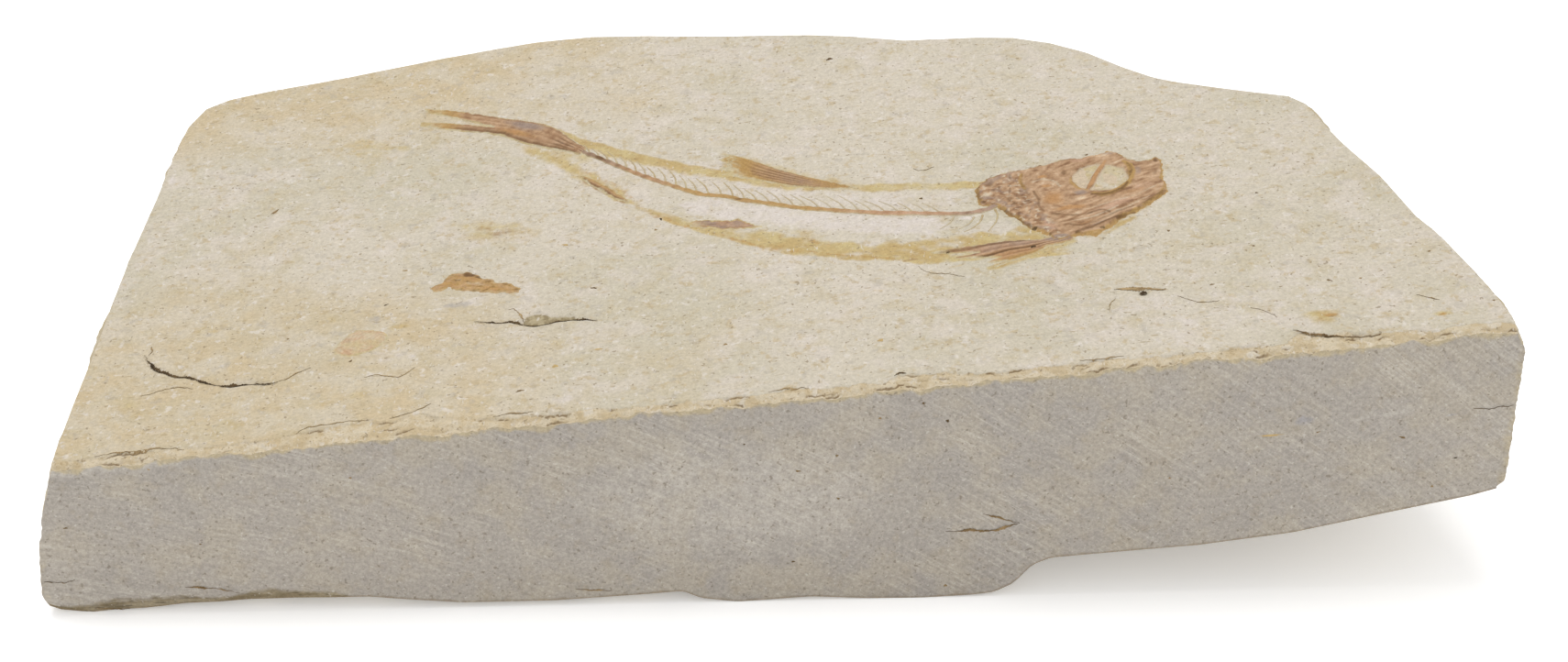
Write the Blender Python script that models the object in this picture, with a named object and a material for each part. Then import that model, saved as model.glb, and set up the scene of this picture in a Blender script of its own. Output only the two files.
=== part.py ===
"""Fossil fish slab: a wedge of split limestone with one sawn long side, carrying a small flattened fish.

X runs along the sawn side, the sawn side faces -Y and Z is up. The origin is at the middle of the
slab's footprint, on the surface it rests on. Sizes are in millimetres and are scaled to metres once,
at the end.
"""

import bmesh
import bpy
import numpy as np

MM = 0.001

# ---------------------------------------------------------------- driving dimensions, mm
SLAB_LENGTH = 157.4          # along the sawn side, over the flared left end
SLAB_DEPTH = 86.3            # from the sawn side to the furthest point of the broken back
MIDDLE_X = -1.3              # centre of the footprint, seen from the drawing's datum on the sawn side
MIDDLE_Y = 43.2

TOP_HEIGHT = 26.83           # height of the split top face above the datum
TOP_RISE = 0.0909            # the top face climbs this much per millimetre to the right
TOP_WAVE = 0.16              # long swells left in the top face by the split
BED_SKIN = 0.08              # a thin bedding skin left in patches on the front half of the top face

EDGE_CHIP_WIDTH = 1.5        # chipped strip along the sawn top edge
EDGE_CHIP_DROP = 0.45

FLARE_LEFT = 3.05            # the left end stands out by this much at its foot
BULGE_RIGHT = 1.0            # the right end swells just under the top
BED_LEVELS = (4.2, 8.6, 13.4, 17.6, 22.4, 27.2)   # bedding planes seen as ledges on the broken sides
BED_STEP = 0.95              # how far neighbouring beds stand out past each other

BEVEL_HEIGHT = 2.1           # weathered bevel under the left half of the sawn face
BEVEL_DEPTH = 0.7
BEVEL_END = -43.0            # the bevel fades out here

STEP_X = 24.3                # the lower bed ends here, and the underside steps up to the next bed
STEP_HEIGHT = 4.3
STEP_DRIFT = 0.13            # the step runs back and slightly to the right
UPPER_BED_RISE = 0.155       # slope of the underside past the step
FOOT_SWELL = 0.9             # relief of the lower bed; its low swells end flat where the slab rests

HEAD_RELIEF = 0.42
ORBIT_RELIEF = 0.06
COLUMN_RELIEF = 0.34
COLUMN_HALF_WIDTH = 0.62
FIN_RELIEF = 0.24
SCALE_RELIEF = 0.28
FRAGMENT_RELIEF = 0.36
CRACK_DEPTH = 0.9
CRACK_HALF_WIDTH = 0.42
POCKET_DEPTH = 0.95
HOLE_DEPTH = 1.3
HOLE_RADIUS = 0.62

CELLS_X, CELLS_Y, CELLS_Z = 372, 212, 22     # cells of the block before it is shaped
FACE_BUDGET = 9800                           # triangles kept for the whole slab

# ---------------------------------------------------------------- outlines, (x, y) in mm from the datum
LEFT_EDGE = [(-77.0, 0), (-76.3, 12), (-75.3, 26), (-74.4, 41.5), (-73.1, 54), (-72.3, 64), (-71.4, 71.3), (-69.7, 75.7)]
RIGHT_EDGE = [(76.4, 0), (76.0, 3), (75.0, 8), (72.0, 20), (70.6, 23.5), (68.4, 33), (65.7, 40.5), (64.4, 45), (63.2, 50.5), (61.5, 52.9)]
BACK_EDGE = [
    (-69.7, 75.7), (-67, 77.6), (-62, 79), (-51.7, 81), (-40, 83.5), (-28.6, 85.1), (-21.6, 85.1), (-12, 83.4), (-3, 81.7),
    (6, 79.8), (11, 78.5), (17.5, 76), (26.5, 75.1), (31, 74.1), (35.4, 71.8), (39.5, 68.3), (43.4, 63.7), (46.5, 60.6),
    (49.3, 58.8), (57.5, 54.8), (61.5, 52.9),
]
# Height of the lower edge of the sawn face along its length: (x, z)
SAWN_FOOT = [
    (-81, 1.6), (-78.5, 0.4), (-75, 0), (-65, 0.8), (-55, 1.4), (-45, 1.7), (-35, 0.7), (-25, 0.7), (-15, 1.3), (-11, 1.6),
    (-9, 0.6), (-5, 0), (3, 0.5), (9, 0.1), (15, 0), (21, 0.3), (23, 0.6), (25, 1.7), (27, 4.2), (29, 5.1),
    (35, 5.6), (45, 6.4), (55, 7.8), (65, 10.2), (74, 12.3), (78, 13.6),
]

HEAD = [
    (23.5, 35), (23.3, 37), (23.6, 39.3), (24.6, 40.3), (27, 41.4), (30, 41.7), (33.5, 43), (36, 42.8), (39, 43.9),
    (41, 41.8), (42, 41), (44.5, 41.6), (44.8, 41), (44.3, 37), (44.6, 35.5), (44.5, 33.8), (42, 31.2), (40.2, 29.8),
    (38.5, 29), (36.3, 26), (33.3, 26), (32, 25.2), (30, 26.8), (28, 29.5), (26.2, 32.5),
]
ORBIT_CENTRE, ORBIT_RADIUS = (37.6, 38.0), 3.3
ORBIT_BAR = [(38.3, 41.6), (35.7, 35.2)]
JAW_RIDGES = [
    [(31.5, 26.3), (36, 29.4), (40.5, 32), (44, 34.6)],
    [(29.2, 29.6), (34, 32), (39.5, 34.2), (42.4, 37.2), (42.6, 40)],
    [(24.3, 38.5), (29.5, 39.8), (33.6, 41.4), (36.6, 42.2)],
    [(25.8, 34.8), (28.8, 31.6), (31, 28.2)],
]
COLUMN = [
    (-30, 62), (-26, 59.4), (-22.5, 56.3), (-20, 54), (-16, 50), (-13, 47.3), (-10, 44.8), (-8, 43.3), (-3.8, 41.3),
    (0, 39.7), (5, 37.5), (10, 35.9), (15, 34.7), (20, 33.7), (24, 33.7),
]
DORSAL_FIN = [(9.7, 41.4), (5, 44.5), (0, 48.5), (-4, 51.8), (-5, 51.6), (-5, 47.2), (0, 44.8), (4.5, 42.7)]
ANAL_FIN = [(-22, 50), (-19, 45.8), (-16.6, 43), (-17.6, 45.4), (-20.4, 49.4)]
PECTORAL_FIN = [(34, 26.4), (28, 26.6), (19.1, 25.3), (20, 24.2), (23.5, 21.2), (29.5, 24)]
TAIL_UPPER = [(-41, 70), (-35, 66.8), (-27, 63.3), (-24.2, 61), (-22, 57), (-25, 57.8), (-30, 62.2), (-34, 65)]
TAIL_LOWER = [(-41.8, 66.3), (-35, 62.7), (-30, 59.7), (-26, 57.2), (-22.4, 56), (-24, 59), (-30, 61.8), (-36, 64.6)]
FRAGMENT = [(-38.4, 28.4), (-36.4, 30.6), (-33.8, 30.7), (-29.2, 26.7), (-28.8, 25.8), (-31.5, 26.3), (-35.6, 27.6)]
SCALE_CENTRE, SCALE_SIZE = (-45.6, 18.4), (3.1, 1.9)

CRACK = [(-70, 20), (-69.2, 18.5), (-65.9, 15.2), (-60.6, 12.9), (-55.6, 12.6), (-53.2, 13)]
CRACK_BRANCH = [(-69, 12.3), (-67, 12.7), (-65, 13.5)]
POCKET = [(-33.6, 20), (-29.4, 21.6), (-27, 20.2), (-24.6, 19.4), (-20.7, 18.6)]
HOLE_CENTRE = (39.4, 13.8)
HOLE_CRACK = [(36.7, 14.4), (39.4, 13.8), (41.5, 13.4)]
FRONT_LEDGE = [(-52, 2.0), (-47.5, 3.5), (-42.5, 2.6), (-38.2, 4.0), (-34, 2.2), (-26, 1.2)]
CORNER_LEDGE = [(53.5, 3.6), (57, 2.6), (61, 2.0), (67, 1.1)]


# ---------------------------------------------------------------- helpers
def ramp(low, high, x):
    """0 below low, 1 above high, smooth between."""
    t = np.clip((x - low) / (high - low), 0, 1)
    return t * t * (3 - 2 * t)


def slope_at(i, j, seed, a, b):
    """Height at (a, b) from a whole-number cell corner, on that corner's own repeatable slope."""
    h = np.sin(i * 127.1 + j * 311.7 + seed * 74.7) * 43758.5453
    turn = 2 * np.pi * (h - np.floor(h))
    return a * np.cos(turn) + b * np.sin(turn)


def swell(x, y, size, seed):
    """Smooth uneven ground, about -1 to 1, whose bumps are about size across."""
    x, y = np.asarray(x, float) / size, np.asarray(y, float) / size
    turn = 0.6 + 1.3 * seed
    x, y = x * np.cos(turn) - y * np.sin(turn), x * np.sin(turn) + y * np.cos(turn)
    i, j = np.floor(x), np.floor(y)
    a, b = x - i, y - j
    s, t = a**3 * (a * (6 * a - 15) + 10), b**3 * (b * (6 * b - 15) + 10)
    low = slope_at(i, j, seed, a, b) * (1 - s) + slope_at(i + 1, j, seed, a - 1, b) * s
    high = slope_at(i, j + 1, seed, a, b - 1) * (1 - s) + slope_at(i + 1, j + 1, seed, a - 1, b - 1) * s
    return 1.55 * (low * (1 - t) + high * t)


def distance_to_line(x, y, line):
    """Distance of each point from an open polyline, and how far along the line its foot is."""
    best = np.full(np.shape(x), 1e9)
    along = np.zeros(np.shape(x))
    run = 0.0
    for (ax, ay), (bx, by) in zip(line[:-1], line[1:]):
        dx, dy = bx - ax, by - ay
        length = np.hypot(dx, dy)
        t = np.clip(((x - ax) * dx + (y - ay) * dy) / length**2, 0, 1)
        d = np.hypot(x - ax - t * dx, y - ay - t * dy)
        along = np.where(d < best, run + t * length, along)
        best = np.minimum(best, d)
        run += length
    return best, along


def depth_inside(x, y, outline):
    """Distance of each point inside a closed outline from its edge, negative outside."""
    edge, _ = distance_to_line(x, y, outline + outline[:1])
    inside = np.zeros(np.shape(x), bool)
    for (ax, ay), (bx, by) in zip(outline, outline[1:] + outline[:1]):
        if ay != by:
            inside ^= ((ay > y) != (by > y)) & (x < (bx - ax) * (y - ay) / (by - ay) + ax)
    return np.where(inside, edge, -edge)


def along_edge(edge, index, share):
    """The edge as a function of one coordinate: points at even shares of that coordinate's range."""
    keys = np.array([p[index] for p in edge], float)
    other = np.array([p[1 - index] for p in edge], float)
    at = keys[0] + (keys[-1] - keys[0]) * share
    order = np.argsort(keys)
    return at, np.interp(at, keys[order], other[order])


# ---------------------------------------------------------------- the ground above and below
def fish_relief(x, y):
    """Height of the flattened skeleton above the stone around it."""
    height = np.zeros(np.shape(x))

    d, along = distance_to_line(x, y, COLUMN)
    bead = 0.82 + 0.18 * np.cos(along * 2 * np.pi / 3.5)
    height = np.maximum(height, COLUMN_RELIEF * bead * ramp(COLUMN_HALF_WIDTH + 0.35, 0.1, d) * ramp(0, 6, along + 1.5))

    for fin, lean in ((DORSAL_FIN, (0.62, 0.78)), (ANAL_FIN, (0.78, 0.62)), (PECTORAL_FIN, (0.18, 0.98)), (TAIL_UPPER, (0.42, 0.9)), (TAIL_LOWER, (0.42, 0.9))):
        rays = 0.7 + 0.3 * np.cos((x * lean[0] + y * lean[1]) * 2 * np.pi / 1.5)
        height = np.maximum(height, FIN_RELIEF * rays * ramp(-0.25, 0.5, depth_inside(x, y, fin)))

    head = depth_inside(x, y, HEAD)
    plate = HEAD_RELIEF * (0.62 + 0.2 * swell(x, y, 2.6, 5)) * ramp(-0.15, 0.55, head)
    for ridge in JAW_RIDGES:
        d, _ = distance_to_line(x, y, ridge)
        plate = plate + 0.16 * ramp(0.9, 0.1, d) * ramp(-0.1, 0.4, head)
    from_orbit = np.hypot((x - ORBIT_CENTRE[0]) * 0.95, y - ORBIT_CENTRE[1])
    rim = 0.12 * np.exp(-(((from_orbit - ORBIT_RADIUS - 0.6) / 0.7) ** 2)) * (head > 0)
    open_eye = ramp(ORBIT_RADIUS + 0.25, ORBIT_RADIUS - 0.45, from_orbit)
    bar, _ = distance_to_line(x, y, ORBIT_BAR)
    floor = ORBIT_RELIEF + (HEAD_RELIEF * 0.7) * ramp(0.75, 0.25, bar)
    plate = (plate + rim) * (1 - open_eye) + floor * open_eye
    return np.maximum(height, np.where(head > -0.3, plate, 0))


def hollows(x, y):
    """Depth of the cracks, the pocket and the small hole below the stone around them."""
    depth = np.zeros(np.shape(x))
    wander = 0.25 * swell(x, y, 2.2, 21)
    for line, wide, deep in ((CRACK, CRACK_HALF_WIDTH, CRACK_DEPTH), (CRACK_BRANCH, 0.3, 0.45), (HOLE_CRACK, 0.3, 0.5)):
        d, along = distance_to_line(x + wander, y - wander, line)
        length = sum(np.hypot(b[0] - a[0], b[1] - a[1]) for a, b in zip(line[:-1], line[1:]))
        taper = ramp(0, 3, along) * ramp(0, 3, length - along) * 0.7 + 0.3
        depth = np.maximum(depth, deep * taper * ramp(wide + 0.35, 0.05, d))
    d, along = distance_to_line(x + 2 * wander, y + wander, POCKET)
    width = 0.35 + 0.75 * np.exp(-(((along - 7.5) / 3.2) ** 2))
    depth = np.maximum(depth, POCKET_DEPTH * ramp(0.55, 0, d - width) * ramp(-0.5, 3.0, along) * (0.75 + 0.3 * swell(x, y, 1.5, 8)))
    hole = np.hypot(x - HOLE_CENTRE[0], y - HOLE_CENTRE[1])
    return np.maximum(depth, HOLE_DEPTH * ramp(HOLE_RADIUS + 0.25, HOLE_RADIUS - 0.3, hole))


def top_height(x, y):
    """Height of the split top face, with the fish, the cracks and the chipped sawn edge."""
    z = TOP_HEIGHT + TOP_RISE * x
    z = z + TOP_WAVE * swell(x, y, 27, 1) + 0.5 * TOP_WAVE * swell(x, y, 11, 2)
    width = EDGE_CHIP_WIDTH * (0.75 + 0.6 * swell(x, 0 * y, 5, 3) + 0.35 * swell(x, 0 * y, 1.9, 4))
    drop = EDGE_CHIP_DROP * (1 + 0.6 * swell(x, y, 6, 6)) * ramp(1, 0, y / np.maximum(width, 0.25))
    z = z - drop
    for line, deep in ((FRONT_LEDGE, 0.5), (CORNER_LEDGE, 0.35)):
        ledge_y = np.interp(x, [p[0] for p in line], [p[1] for p in line])
        reach = ramp(line[0][0] - 1.5, line[0][0] + 1.5, x) * ramp(line[-1][0] + 1.5, line[-1][0] - 1.5, x)
        z = z - deep * reach * ramp(0.35, -0.25, y - ledge_y)
    bed = swell(x, y, 19, 14) + 0.35 * swell(x, y, 6, 15)
    z = z + BED_SKIN * ramp(0.12, 0.24, bed) * ramp(40, 30, y) * ramp(2, 8, y)
    oval = np.hypot((x - SCALE_CENTRE[0]) / SCALE_SIZE[0], (y - SCALE_CENTRE[1]) / SCALE_SIZE[1])
    z = z + SCALE_RELIEF * np.sqrt(np.clip(1 - oval**2, 0, 1))
    z = z + FRAGMENT_RELIEF * (0.8 + 0.35 * swell(x, y, 1.6, 9)) * ramp(-0.1, 0.5, depth_inside(x, y, FRAGMENT))
    return z + fish_relief(x, y) - hollows(x, y)


def foot_height(x, y, from_edge):
    """Height of the underside: a lower bed that the slab rests on, and a step up to the next bed."""
    low = np.clip(FOOT_SWELL * (0.05 + swell(x, y, 18, 31) + 0.3 * swell(x, y, 7.5, 32)), 0, None)
    step_at = STEP_X + STEP_DRIFT * y + 2.6 * swell(y, 0 * y, 13, 33) * ramp(0, 8, y)
    up = STEP_HEIGHT * ramp(0, 3.6, x - step_at) + UPPER_BED_RISE * np.clip(x - step_at - 4, 0, None)
    up = up + 0.5 * swell(x, y, 12, 34) * ramp(2, 8, x - step_at)
    inner = low * ramp(6, 0, x - step_at) + up
    worn = 1.9 * (1 + 0.5 * swell(x, y, 7, 35)) * ramp(3.4, 0, from_edge)
    inner = inner + worn
    front = np.interp(x, [p[0] for p in SAWN_FOOT], [p[1] for p in SAWN_FOOT])
    return np.clip(front + (inner - front) * ramp(0, 7, y), 0, None)


def side_reach(run, height, thick):
    """How far a broken side stands out past the top outline, run mm round the outline."""
    reach, last, level = 0 * run, 0 * run, 0
    for number, next_level in enumerate(BED_LEVELS + (99,)):
        bed = BED_STEP * (0.5 + swell(run, 0.3 * height, 15, 50 + number) + 0.22 * swell(run, height, 5.5, 70 + number))
        wobble = 0.9 * swell(run, 0 * run, 23, 90 + number)
        over = ramp(-0.35, 0.35, height - level - wobble) if number else 1
        reach, last, level = reach + (bed - last) * over, bed, next_level
    below_top = thick - height
    return reach * ramp(0, 1.7, below_top)


# ---------------------------------------------------------------- the block and its shaping
def top_outline_point(u, v):
    """The flat outline filled smoothly: u runs along the sawn side and v to the back, each from 0 to 1."""
    left_y, left_x = along_edge(LEFT_EDGE, 1, v)
    right_y, right_x = along_edge(RIGHT_EDGE, 1, v)
    back_x, back_y = along_edge(BACK_EDGE, 0, u)
    front_x = LEFT_EDGE[0][0] + (RIGHT_EDGE[0][0] - LEFT_EDGE[0][0]) * u
    x = (1 - v) * front_x + v * back_x + (1 - u) * left_x + u * right_x
    y = v * back_y + (1 - u) * left_y + u * right_y
    for corner, share in (
        (LEFT_EDGE[0], (1 - u) * (1 - v)), (RIGHT_EDGE[0], u * (1 - v)),
        (LEFT_EDGE[-1], (1 - u) * v), (RIGHT_EDGE[-1], u * v),
    ):
        x, y = x - share * corner[0], y - share * corner[1]
    return x, y


def slab_point(u, v, w):
    """A point of the slab's surface from its shares of the length, depth and height."""
    x0, y0 = top_outline_point(u, v)
    top = top_height(x0, y0)

    def spread(share, thick):
        """The outline at this share of the height, pushed out by the broken sides."""
        height = share * thick
        left = FLARE_LEFT * (1 - share**2) * ramp(13, 0, y0) + side_reach(y0, height, thick) * ramp(0, 7, y0)
        right = BULGE_RIGHT * ramp(1, 0.88, share) * ramp(22, 4, y0) + side_reach(200 + y0, height, thick) * ramp(0, 7, y0)
        back = side_reach(400 + x0, height, thick) + 0.4 * ramp(1, 0.5, share)
        near_left, near_right, near_back = (1 - u) ** 9, u ** 9, v ** 9
        lean = 0.3 * ramp(0, 12, y0)
        x = x0 - left * near_left + right * near_right
        y = y0 + back * near_back + lean * right * near_right
        return x, y

    thick = top - 1.5 - ramp(STEP_X, STEP_X + 4, x0) * STEP_HEIGHT
    foot_x, foot_y = spread(0 * w, thick)
    from_edge = np.minimum(np.minimum(u, 1 - u) * SLAB_LENGTH, (1 - v) * SLAB_DEPTH)
    foot = foot_height(foot_x, foot_y, from_edge)
    x, y = spread(w, thick)
    z = foot + (top - foot) * w
    bevel = BEVEL_DEPTH * ramp(BEVEL_END + 3, BEVEL_END - 18, x) * (1 + 0.25 * swell(x, 0 * x, 5, 41))
    y = y + bevel * (1 - v) ** 24 * np.clip(1 - (z - foot) / BEVEL_HEIGHT, 0, 1) ** 1.2 * (w < 0.5)
    return np.stack([x - MIDDLE_X, y - MIDDLE_Y, z], axis=1)


def clear_scene():
    for item in list(bpy.data.objects):
        bpy.data.objects.remove(item, do_unlink=True)


def split_edges(mesh, axis, cells):
    """Cuts every edge that runs along one axis into equal cells."""
    along = [
        edge for edge in mesh.edges
        if abs(edge.verts[0].co[axis] - edge.verts[1].co[axis]) > 0.5
    ]
    bmesh.ops.subdivide_edges(mesh, edges=along, cuts=cells - 1, use_grid_fill=False)


def stone_material():
    material = bpy.data.materials.new("limestone")
    material.use_nodes = True
    shader = material.node_tree.nodes["Principled BSDF"]
    shader.inputs["Base Color"].default_value = (0.62, 0.545, 0.415, 1)
    shader.inputs["Roughness"].default_value = 0.9
    shader.inputs["Metallic"].default_value = 0.0
    return material


def build_slab(collection):
    # A unit block is cut into fine cells, and each cell corner is moved to its place on the stone.
    bpy.ops.mesh.primitive_cube_add(size=1, location=(0, 0, 0))
    slab = bpy.context.object
    slab.name = slab.data.name = "slab"
    for home in list(slab.users_collection):
        home.objects.unlink(slab)
    collection.objects.link(slab)

    block = bmesh.new()
    block.from_mesh(slab.data)
    for axis, cells in enumerate((CELLS_X, CELLS_Y, CELLS_Z)):
        split_edges(block, axis, cells)
    bmesh.ops.triangulate(block, faces=block.faces[:])
    block.to_mesh(slab.data)
    block.free()

    corners = np.empty(len(slab.data.vertices) * 3, np.float32)
    slab.data.vertices.foreach_get("co", corners)
    u, v, w = np.clip(corners.reshape(-1, 3).T.astype(float) + 0.5, 0, 1)
    w = 0.45 * w + 0.55 * (0.5 - 0.5 * np.cos(np.pi * w))
    points = slab_point(u, v, w) * MM
    slab.data.vertices.foreach_set("co", points.astype(np.float32).reshape(-1))
    slab.data.update()

    # Flat ground needs few faces, and the skeleton and the ledges keep theirs.
    thin = slab.modifiers.new("thin", "DECIMATE")
    thin.decimate_type = "COLLAPSE"
    thin.ratio = FACE_BUDGET / len(slab.data.polygons)
    thin.use_collapse_triangulate = True

    slab.data.materials.append(stone_material())
    return slab


def main():
    clear_scene()
    collection = bpy.data.collections.new("fossil_fish_slab")
    bpy.context.scene.collection.children.link(collection)
    build_slab(collection)


main()
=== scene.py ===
"""Fossil fish slab: the stone's surfaces, the flattened skeleton with its stains, and the studio."""

import math

import bpy
import numpy as np
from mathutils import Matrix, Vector


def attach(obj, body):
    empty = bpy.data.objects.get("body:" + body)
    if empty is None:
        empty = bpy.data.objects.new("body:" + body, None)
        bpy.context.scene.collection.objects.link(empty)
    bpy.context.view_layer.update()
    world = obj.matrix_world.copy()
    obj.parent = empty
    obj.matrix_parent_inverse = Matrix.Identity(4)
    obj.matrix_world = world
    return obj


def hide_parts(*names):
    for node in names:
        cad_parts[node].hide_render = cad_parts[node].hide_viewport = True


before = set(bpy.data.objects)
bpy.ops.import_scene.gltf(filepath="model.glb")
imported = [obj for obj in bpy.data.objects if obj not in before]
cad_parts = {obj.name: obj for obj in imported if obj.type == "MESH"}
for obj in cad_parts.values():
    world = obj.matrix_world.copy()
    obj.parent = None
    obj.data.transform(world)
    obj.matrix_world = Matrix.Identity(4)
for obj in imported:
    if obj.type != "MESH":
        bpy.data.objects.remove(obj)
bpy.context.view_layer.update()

MM = 0.001

# ================================================================ the slab's form
# All places and sizes are in mm. x and y start from a datum on the sawn side.
MIDDLE_X, MIDDLE_Y = -1.3, 43.2          # centre of the footprint
SLAB_LENGTH, SLAB_DEPTH = 157.4, 86.3
TOP_HEIGHT = 26.83                       # height of the split top face at the datum
TOP_RISE = 0.0909                        # the top face climbs this much per millimetre to the right
TOP_WAVE = 0.16                          # long swells left in the top face by the split
BED_SKIN = 0.08                          # a thin bedding skin left in patches on its front half
TORN_SKIN = 0.035                        # thinner torn skins in patches all over it
CRUMB_STEPS = (1, 0.62, 0.3)             # the crumbled edge drops in steps, at these shares of its width
CRUMB_DROP = 0.24                        # height of one of these steps
FLARE_LEFT, BULGE_RIGHT = 3.05, 1.0      # how far the ends stand out, at the foot and just under the top
BED_LEVELS = (4.2, 8.6, 13.4, 17.6, 22.4, 27.2)   # bedding planes seen as ledges on the broken sides
BED_STEP = 0.95                          # how far neighbouring beds stand out past each other
BEVEL_HEIGHT, BEVEL_DEPTH = 2.1, 0.7     # weathered bevel under the left half of the sawn side
BEVEL_END = -43                          # the bevel fades out here
STEP_X, STEP_HEIGHT = 24.3, 4.3          # the lower bed ends here, and the underside steps up to the next bed
STEP_DRIFT = 0.13                        # the step runs back and slightly to the right
UPPER_BED_RISE = 0.155                   # slope of the underside past the step
FOOT_SWELL = 0.9                         # relief of the lower bed

# The outline of the top, its three broken edges
LEFT_EDGE = [
    (-77, 0), (-76.3, 12), (-75.3, 26), (-74.4, 41.5), (-73.1, 54), (-72.3, 64), (-71.4, 71.3),
    (-69.7, 75.7),
]
RIGHT_EDGE = [
    (76.4, 0), (76, 3), (75, 8), (72, 20), (70.6, 23.5), (68.4, 33), (65.7, 40.5), (64.4, 45), (63.2, 50.5),
    (61.5, 52.9),
]
BACK_EDGE = [
    (-69.7, 75.7), (-67, 77.6), (-62, 79), (-51.7, 81), (-40, 83.5), (-28.6, 85.1), (-21.6, 85.1),
    (-12, 83.4), (-3, 81.7), (6, 79.8), (11, 78.5), (17.5, 76), (26.5, 75.1), (31, 74.1), (35.4, 71.8),
    (39.5, 68.3), (43.4, 63.7), (46.5, 60.6), (49.3, 58.8), (57.5, 54.8), (61.5, 52.9),
]
# Height of the sawn side's foot, and width of the crumbled strip at its top, along x
SAWN_FOOT = [
    (-81, 1.6), (-78.5, 0.4), (-75, 0), (-65, 0.8), (-55, 1.4), (-45, 1.7), (-35, 0.7), (-25, 0.7),
    (-15, 1.3), (-11, 1.6), (-9, 0.6), (-5, 0), (3, 0.5), (9, 0.1), (15, 0), (21, 0.3), (23, 0.6),
    (25, 1.7), (27, 4.2), (29, 5.1), (35, 5.6), (45, 6.4), (55, 7.8), (65, 10.2), (74, 12.3), (78, 13.6),
]
EDGE_STRIP = [
    (-81, 0.6), (-76, 0.9), (-72.5, 1), (-69, 1.3), (-64, 1.2), (-58, 1.1), (-54, 1.3), (-52, 1.8),
    (-50.2, 2.6), (-46, 3.1), (-41.5, 2.9), (-38.2, 4), (-36.5, 2.6), (-33, 1.9), (-28, 1.3), (-18, 1),
    (-6, 1.1), (2, 1.4), (10.5, 1), (12, 2.1), (17, 2.1), (20, 1.1), (31, 1.3), (42, 1.1), (52.6, 1.4),
    (54, 3.3), (57, 2.6), (61, 2), (67, 1.2), (73, 1.6), (81, 1.2),
]

# ================================================================ the fish
HEAD = [
    (23.5, 35), (23.3, 37), (23.4, 38.6), (24, 39.8), (24.8, 40.4), (27, 41.3), (30, 41.8), (32, 42.2),
    (33.5, 42.9), (36, 42.8), (37.4, 43.1), (38.1, 43.6), (39, 43.9), (40, 43.4), (40.9, 42), (42, 41),
    (43.4, 41), (44.3, 41.6), (44.8, 41), (44.7, 38.8), (44.4, 37.2), (44.6, 35.5), (44.5, 33.9),
    (43.5, 32.4), (42, 31.1), (40.3, 29.8), (39, 29.2), (37.4, 27.4), (36.3, 26.4), (35.5, 25.8),
    (34.3, 26.2), (33.3, 26.1), (32, 25.4), (30.9, 25.6), (30.4, 26.6), (29.3, 28.1), (28.3, 29.2),
    (27.4, 30.9), (26.2, 32.4), (25.4, 34.2),
]
ORBIT_CENTRE, ORBIT_RADII = (37.5, 38.1), (3.25, 3.1)
ORBIT_BAR = [(38.5, 41.5), (37.8, 40.2), (37.1, 38.8), (36.4, 37), (35.7, 35.5)]
COLUMN = [
    (-26, 59), (-24, 57.8), (-22.5, 56.3), (-20, 54), (-18, 52), (-16, 50), (-13, 47.3), (-10, 44.8),
    (-8, 43.3), (-5, 42.3), (-3.8, 41.4), (-2, 40.6), (0, 39.7), (2.5, 38.4), (5, 37.5), (8, 36.5),
    (10, 35.9), (12, 35.3), (15, 34.7), (17, 34.3), (20, 33.7), (22, 33.4), (24.2, 33.8), (25.6, 34.8),
]
VERTEBRA = 1.55                          # length of one vertebra
# The stains of the body: under the back, and between two lines along the belly
BACK_LINE = [
    (-30, 64.3), (-25.5, 62), (-21.7, 58.8), (-17.2, 55.4), (-12.9, 52.7), (-8.5, 49.9), (-5.3, 48.4),
    (0, 45.3), (4.5, 43.3), (9.4, 42.3), (14.7, 41.4), (20.9, 40.6), (24.5, 40.2),
]
BELLY_LINE = [
    (-29, 58), (-26, 55), (-24, 52.5), (-22, 50), (-20.5, 47.5), (-19, 45), (-17, 43), (-15, 40.5),
    (-13, 38.7), (-10, 36), (-5, 32.2), (-3, 31), (0, 29), (3, 27.4), (6, 26.7), (9, 25.4), (12, 25),
    (14, 24.2), (16, 23.5), (20, 23.2), (24, 22.9),
]
BELLY_INNER = [
    (-29, 58.6), (-24, 54.6), (-21.5, 51.6), (-19, 48), (-16.8, 44.6), (-13.8, 41.2), (-10, 38), (-5, 35.4),
    (-1, 33.8), (2, 32.2), (5, 31), (8, 29.4), (12, 28.7), (20, 28.2), (25, 28.4), (29, 28.9), (33, 27),
]
# The fins, each between its two edges
DORSAL_UPPER = [
    (9.7, 41.5), (7.3, 43), (5, 44.5), (2, 46.6), (0, 48.3), (-2, 50.1), (-4, 51.6), (-5.6, 52.4),
    (-5, 51.4), (-5.9, 51), (-5.1, 50.2),
]
DORSAL_LOWER = [
    (9.7, 41.2), (7, 41.5), (4.5, 42.4), (2, 43.3), (0, 44.5), (-2, 45.7), (-5.6, 47.4), (-4.6, 47.8),
    (-6, 49), (-4.9, 49.3),
]
ANAL_OUTER = [(-22.3, 50.1), (-21.4, 48.4), (-19.6, 46.2), (-18.4, 44.4), (-16.7, 43)]
ANAL_INNER = [(-22, 50.6), (-20.6, 49.2), (-18.8, 47.2), (-17.4, 45), (-16.4, 43.6)]
TAIL_UPPER = [
    (-41.9, 70.5), (-38, 69.2), (-35, 67.6), (-32, 66), (-29.5, 64.8), (-27, 63.6), (-25.5, 62.2),
    (-24.3, 60.5), (-22.9, 58.4), (-21.6, 56.6),
]
TAIL_FORK_UP = [(-41.6, 69.5), (-38, 67.3), (-35.5, 65.6), (-33.2, 64)]
TAIL_FORK_LOW = [(-42.2, 67.1), (-39, 66.4), (-36.5, 65.4), (-33.2, 64)]
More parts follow.
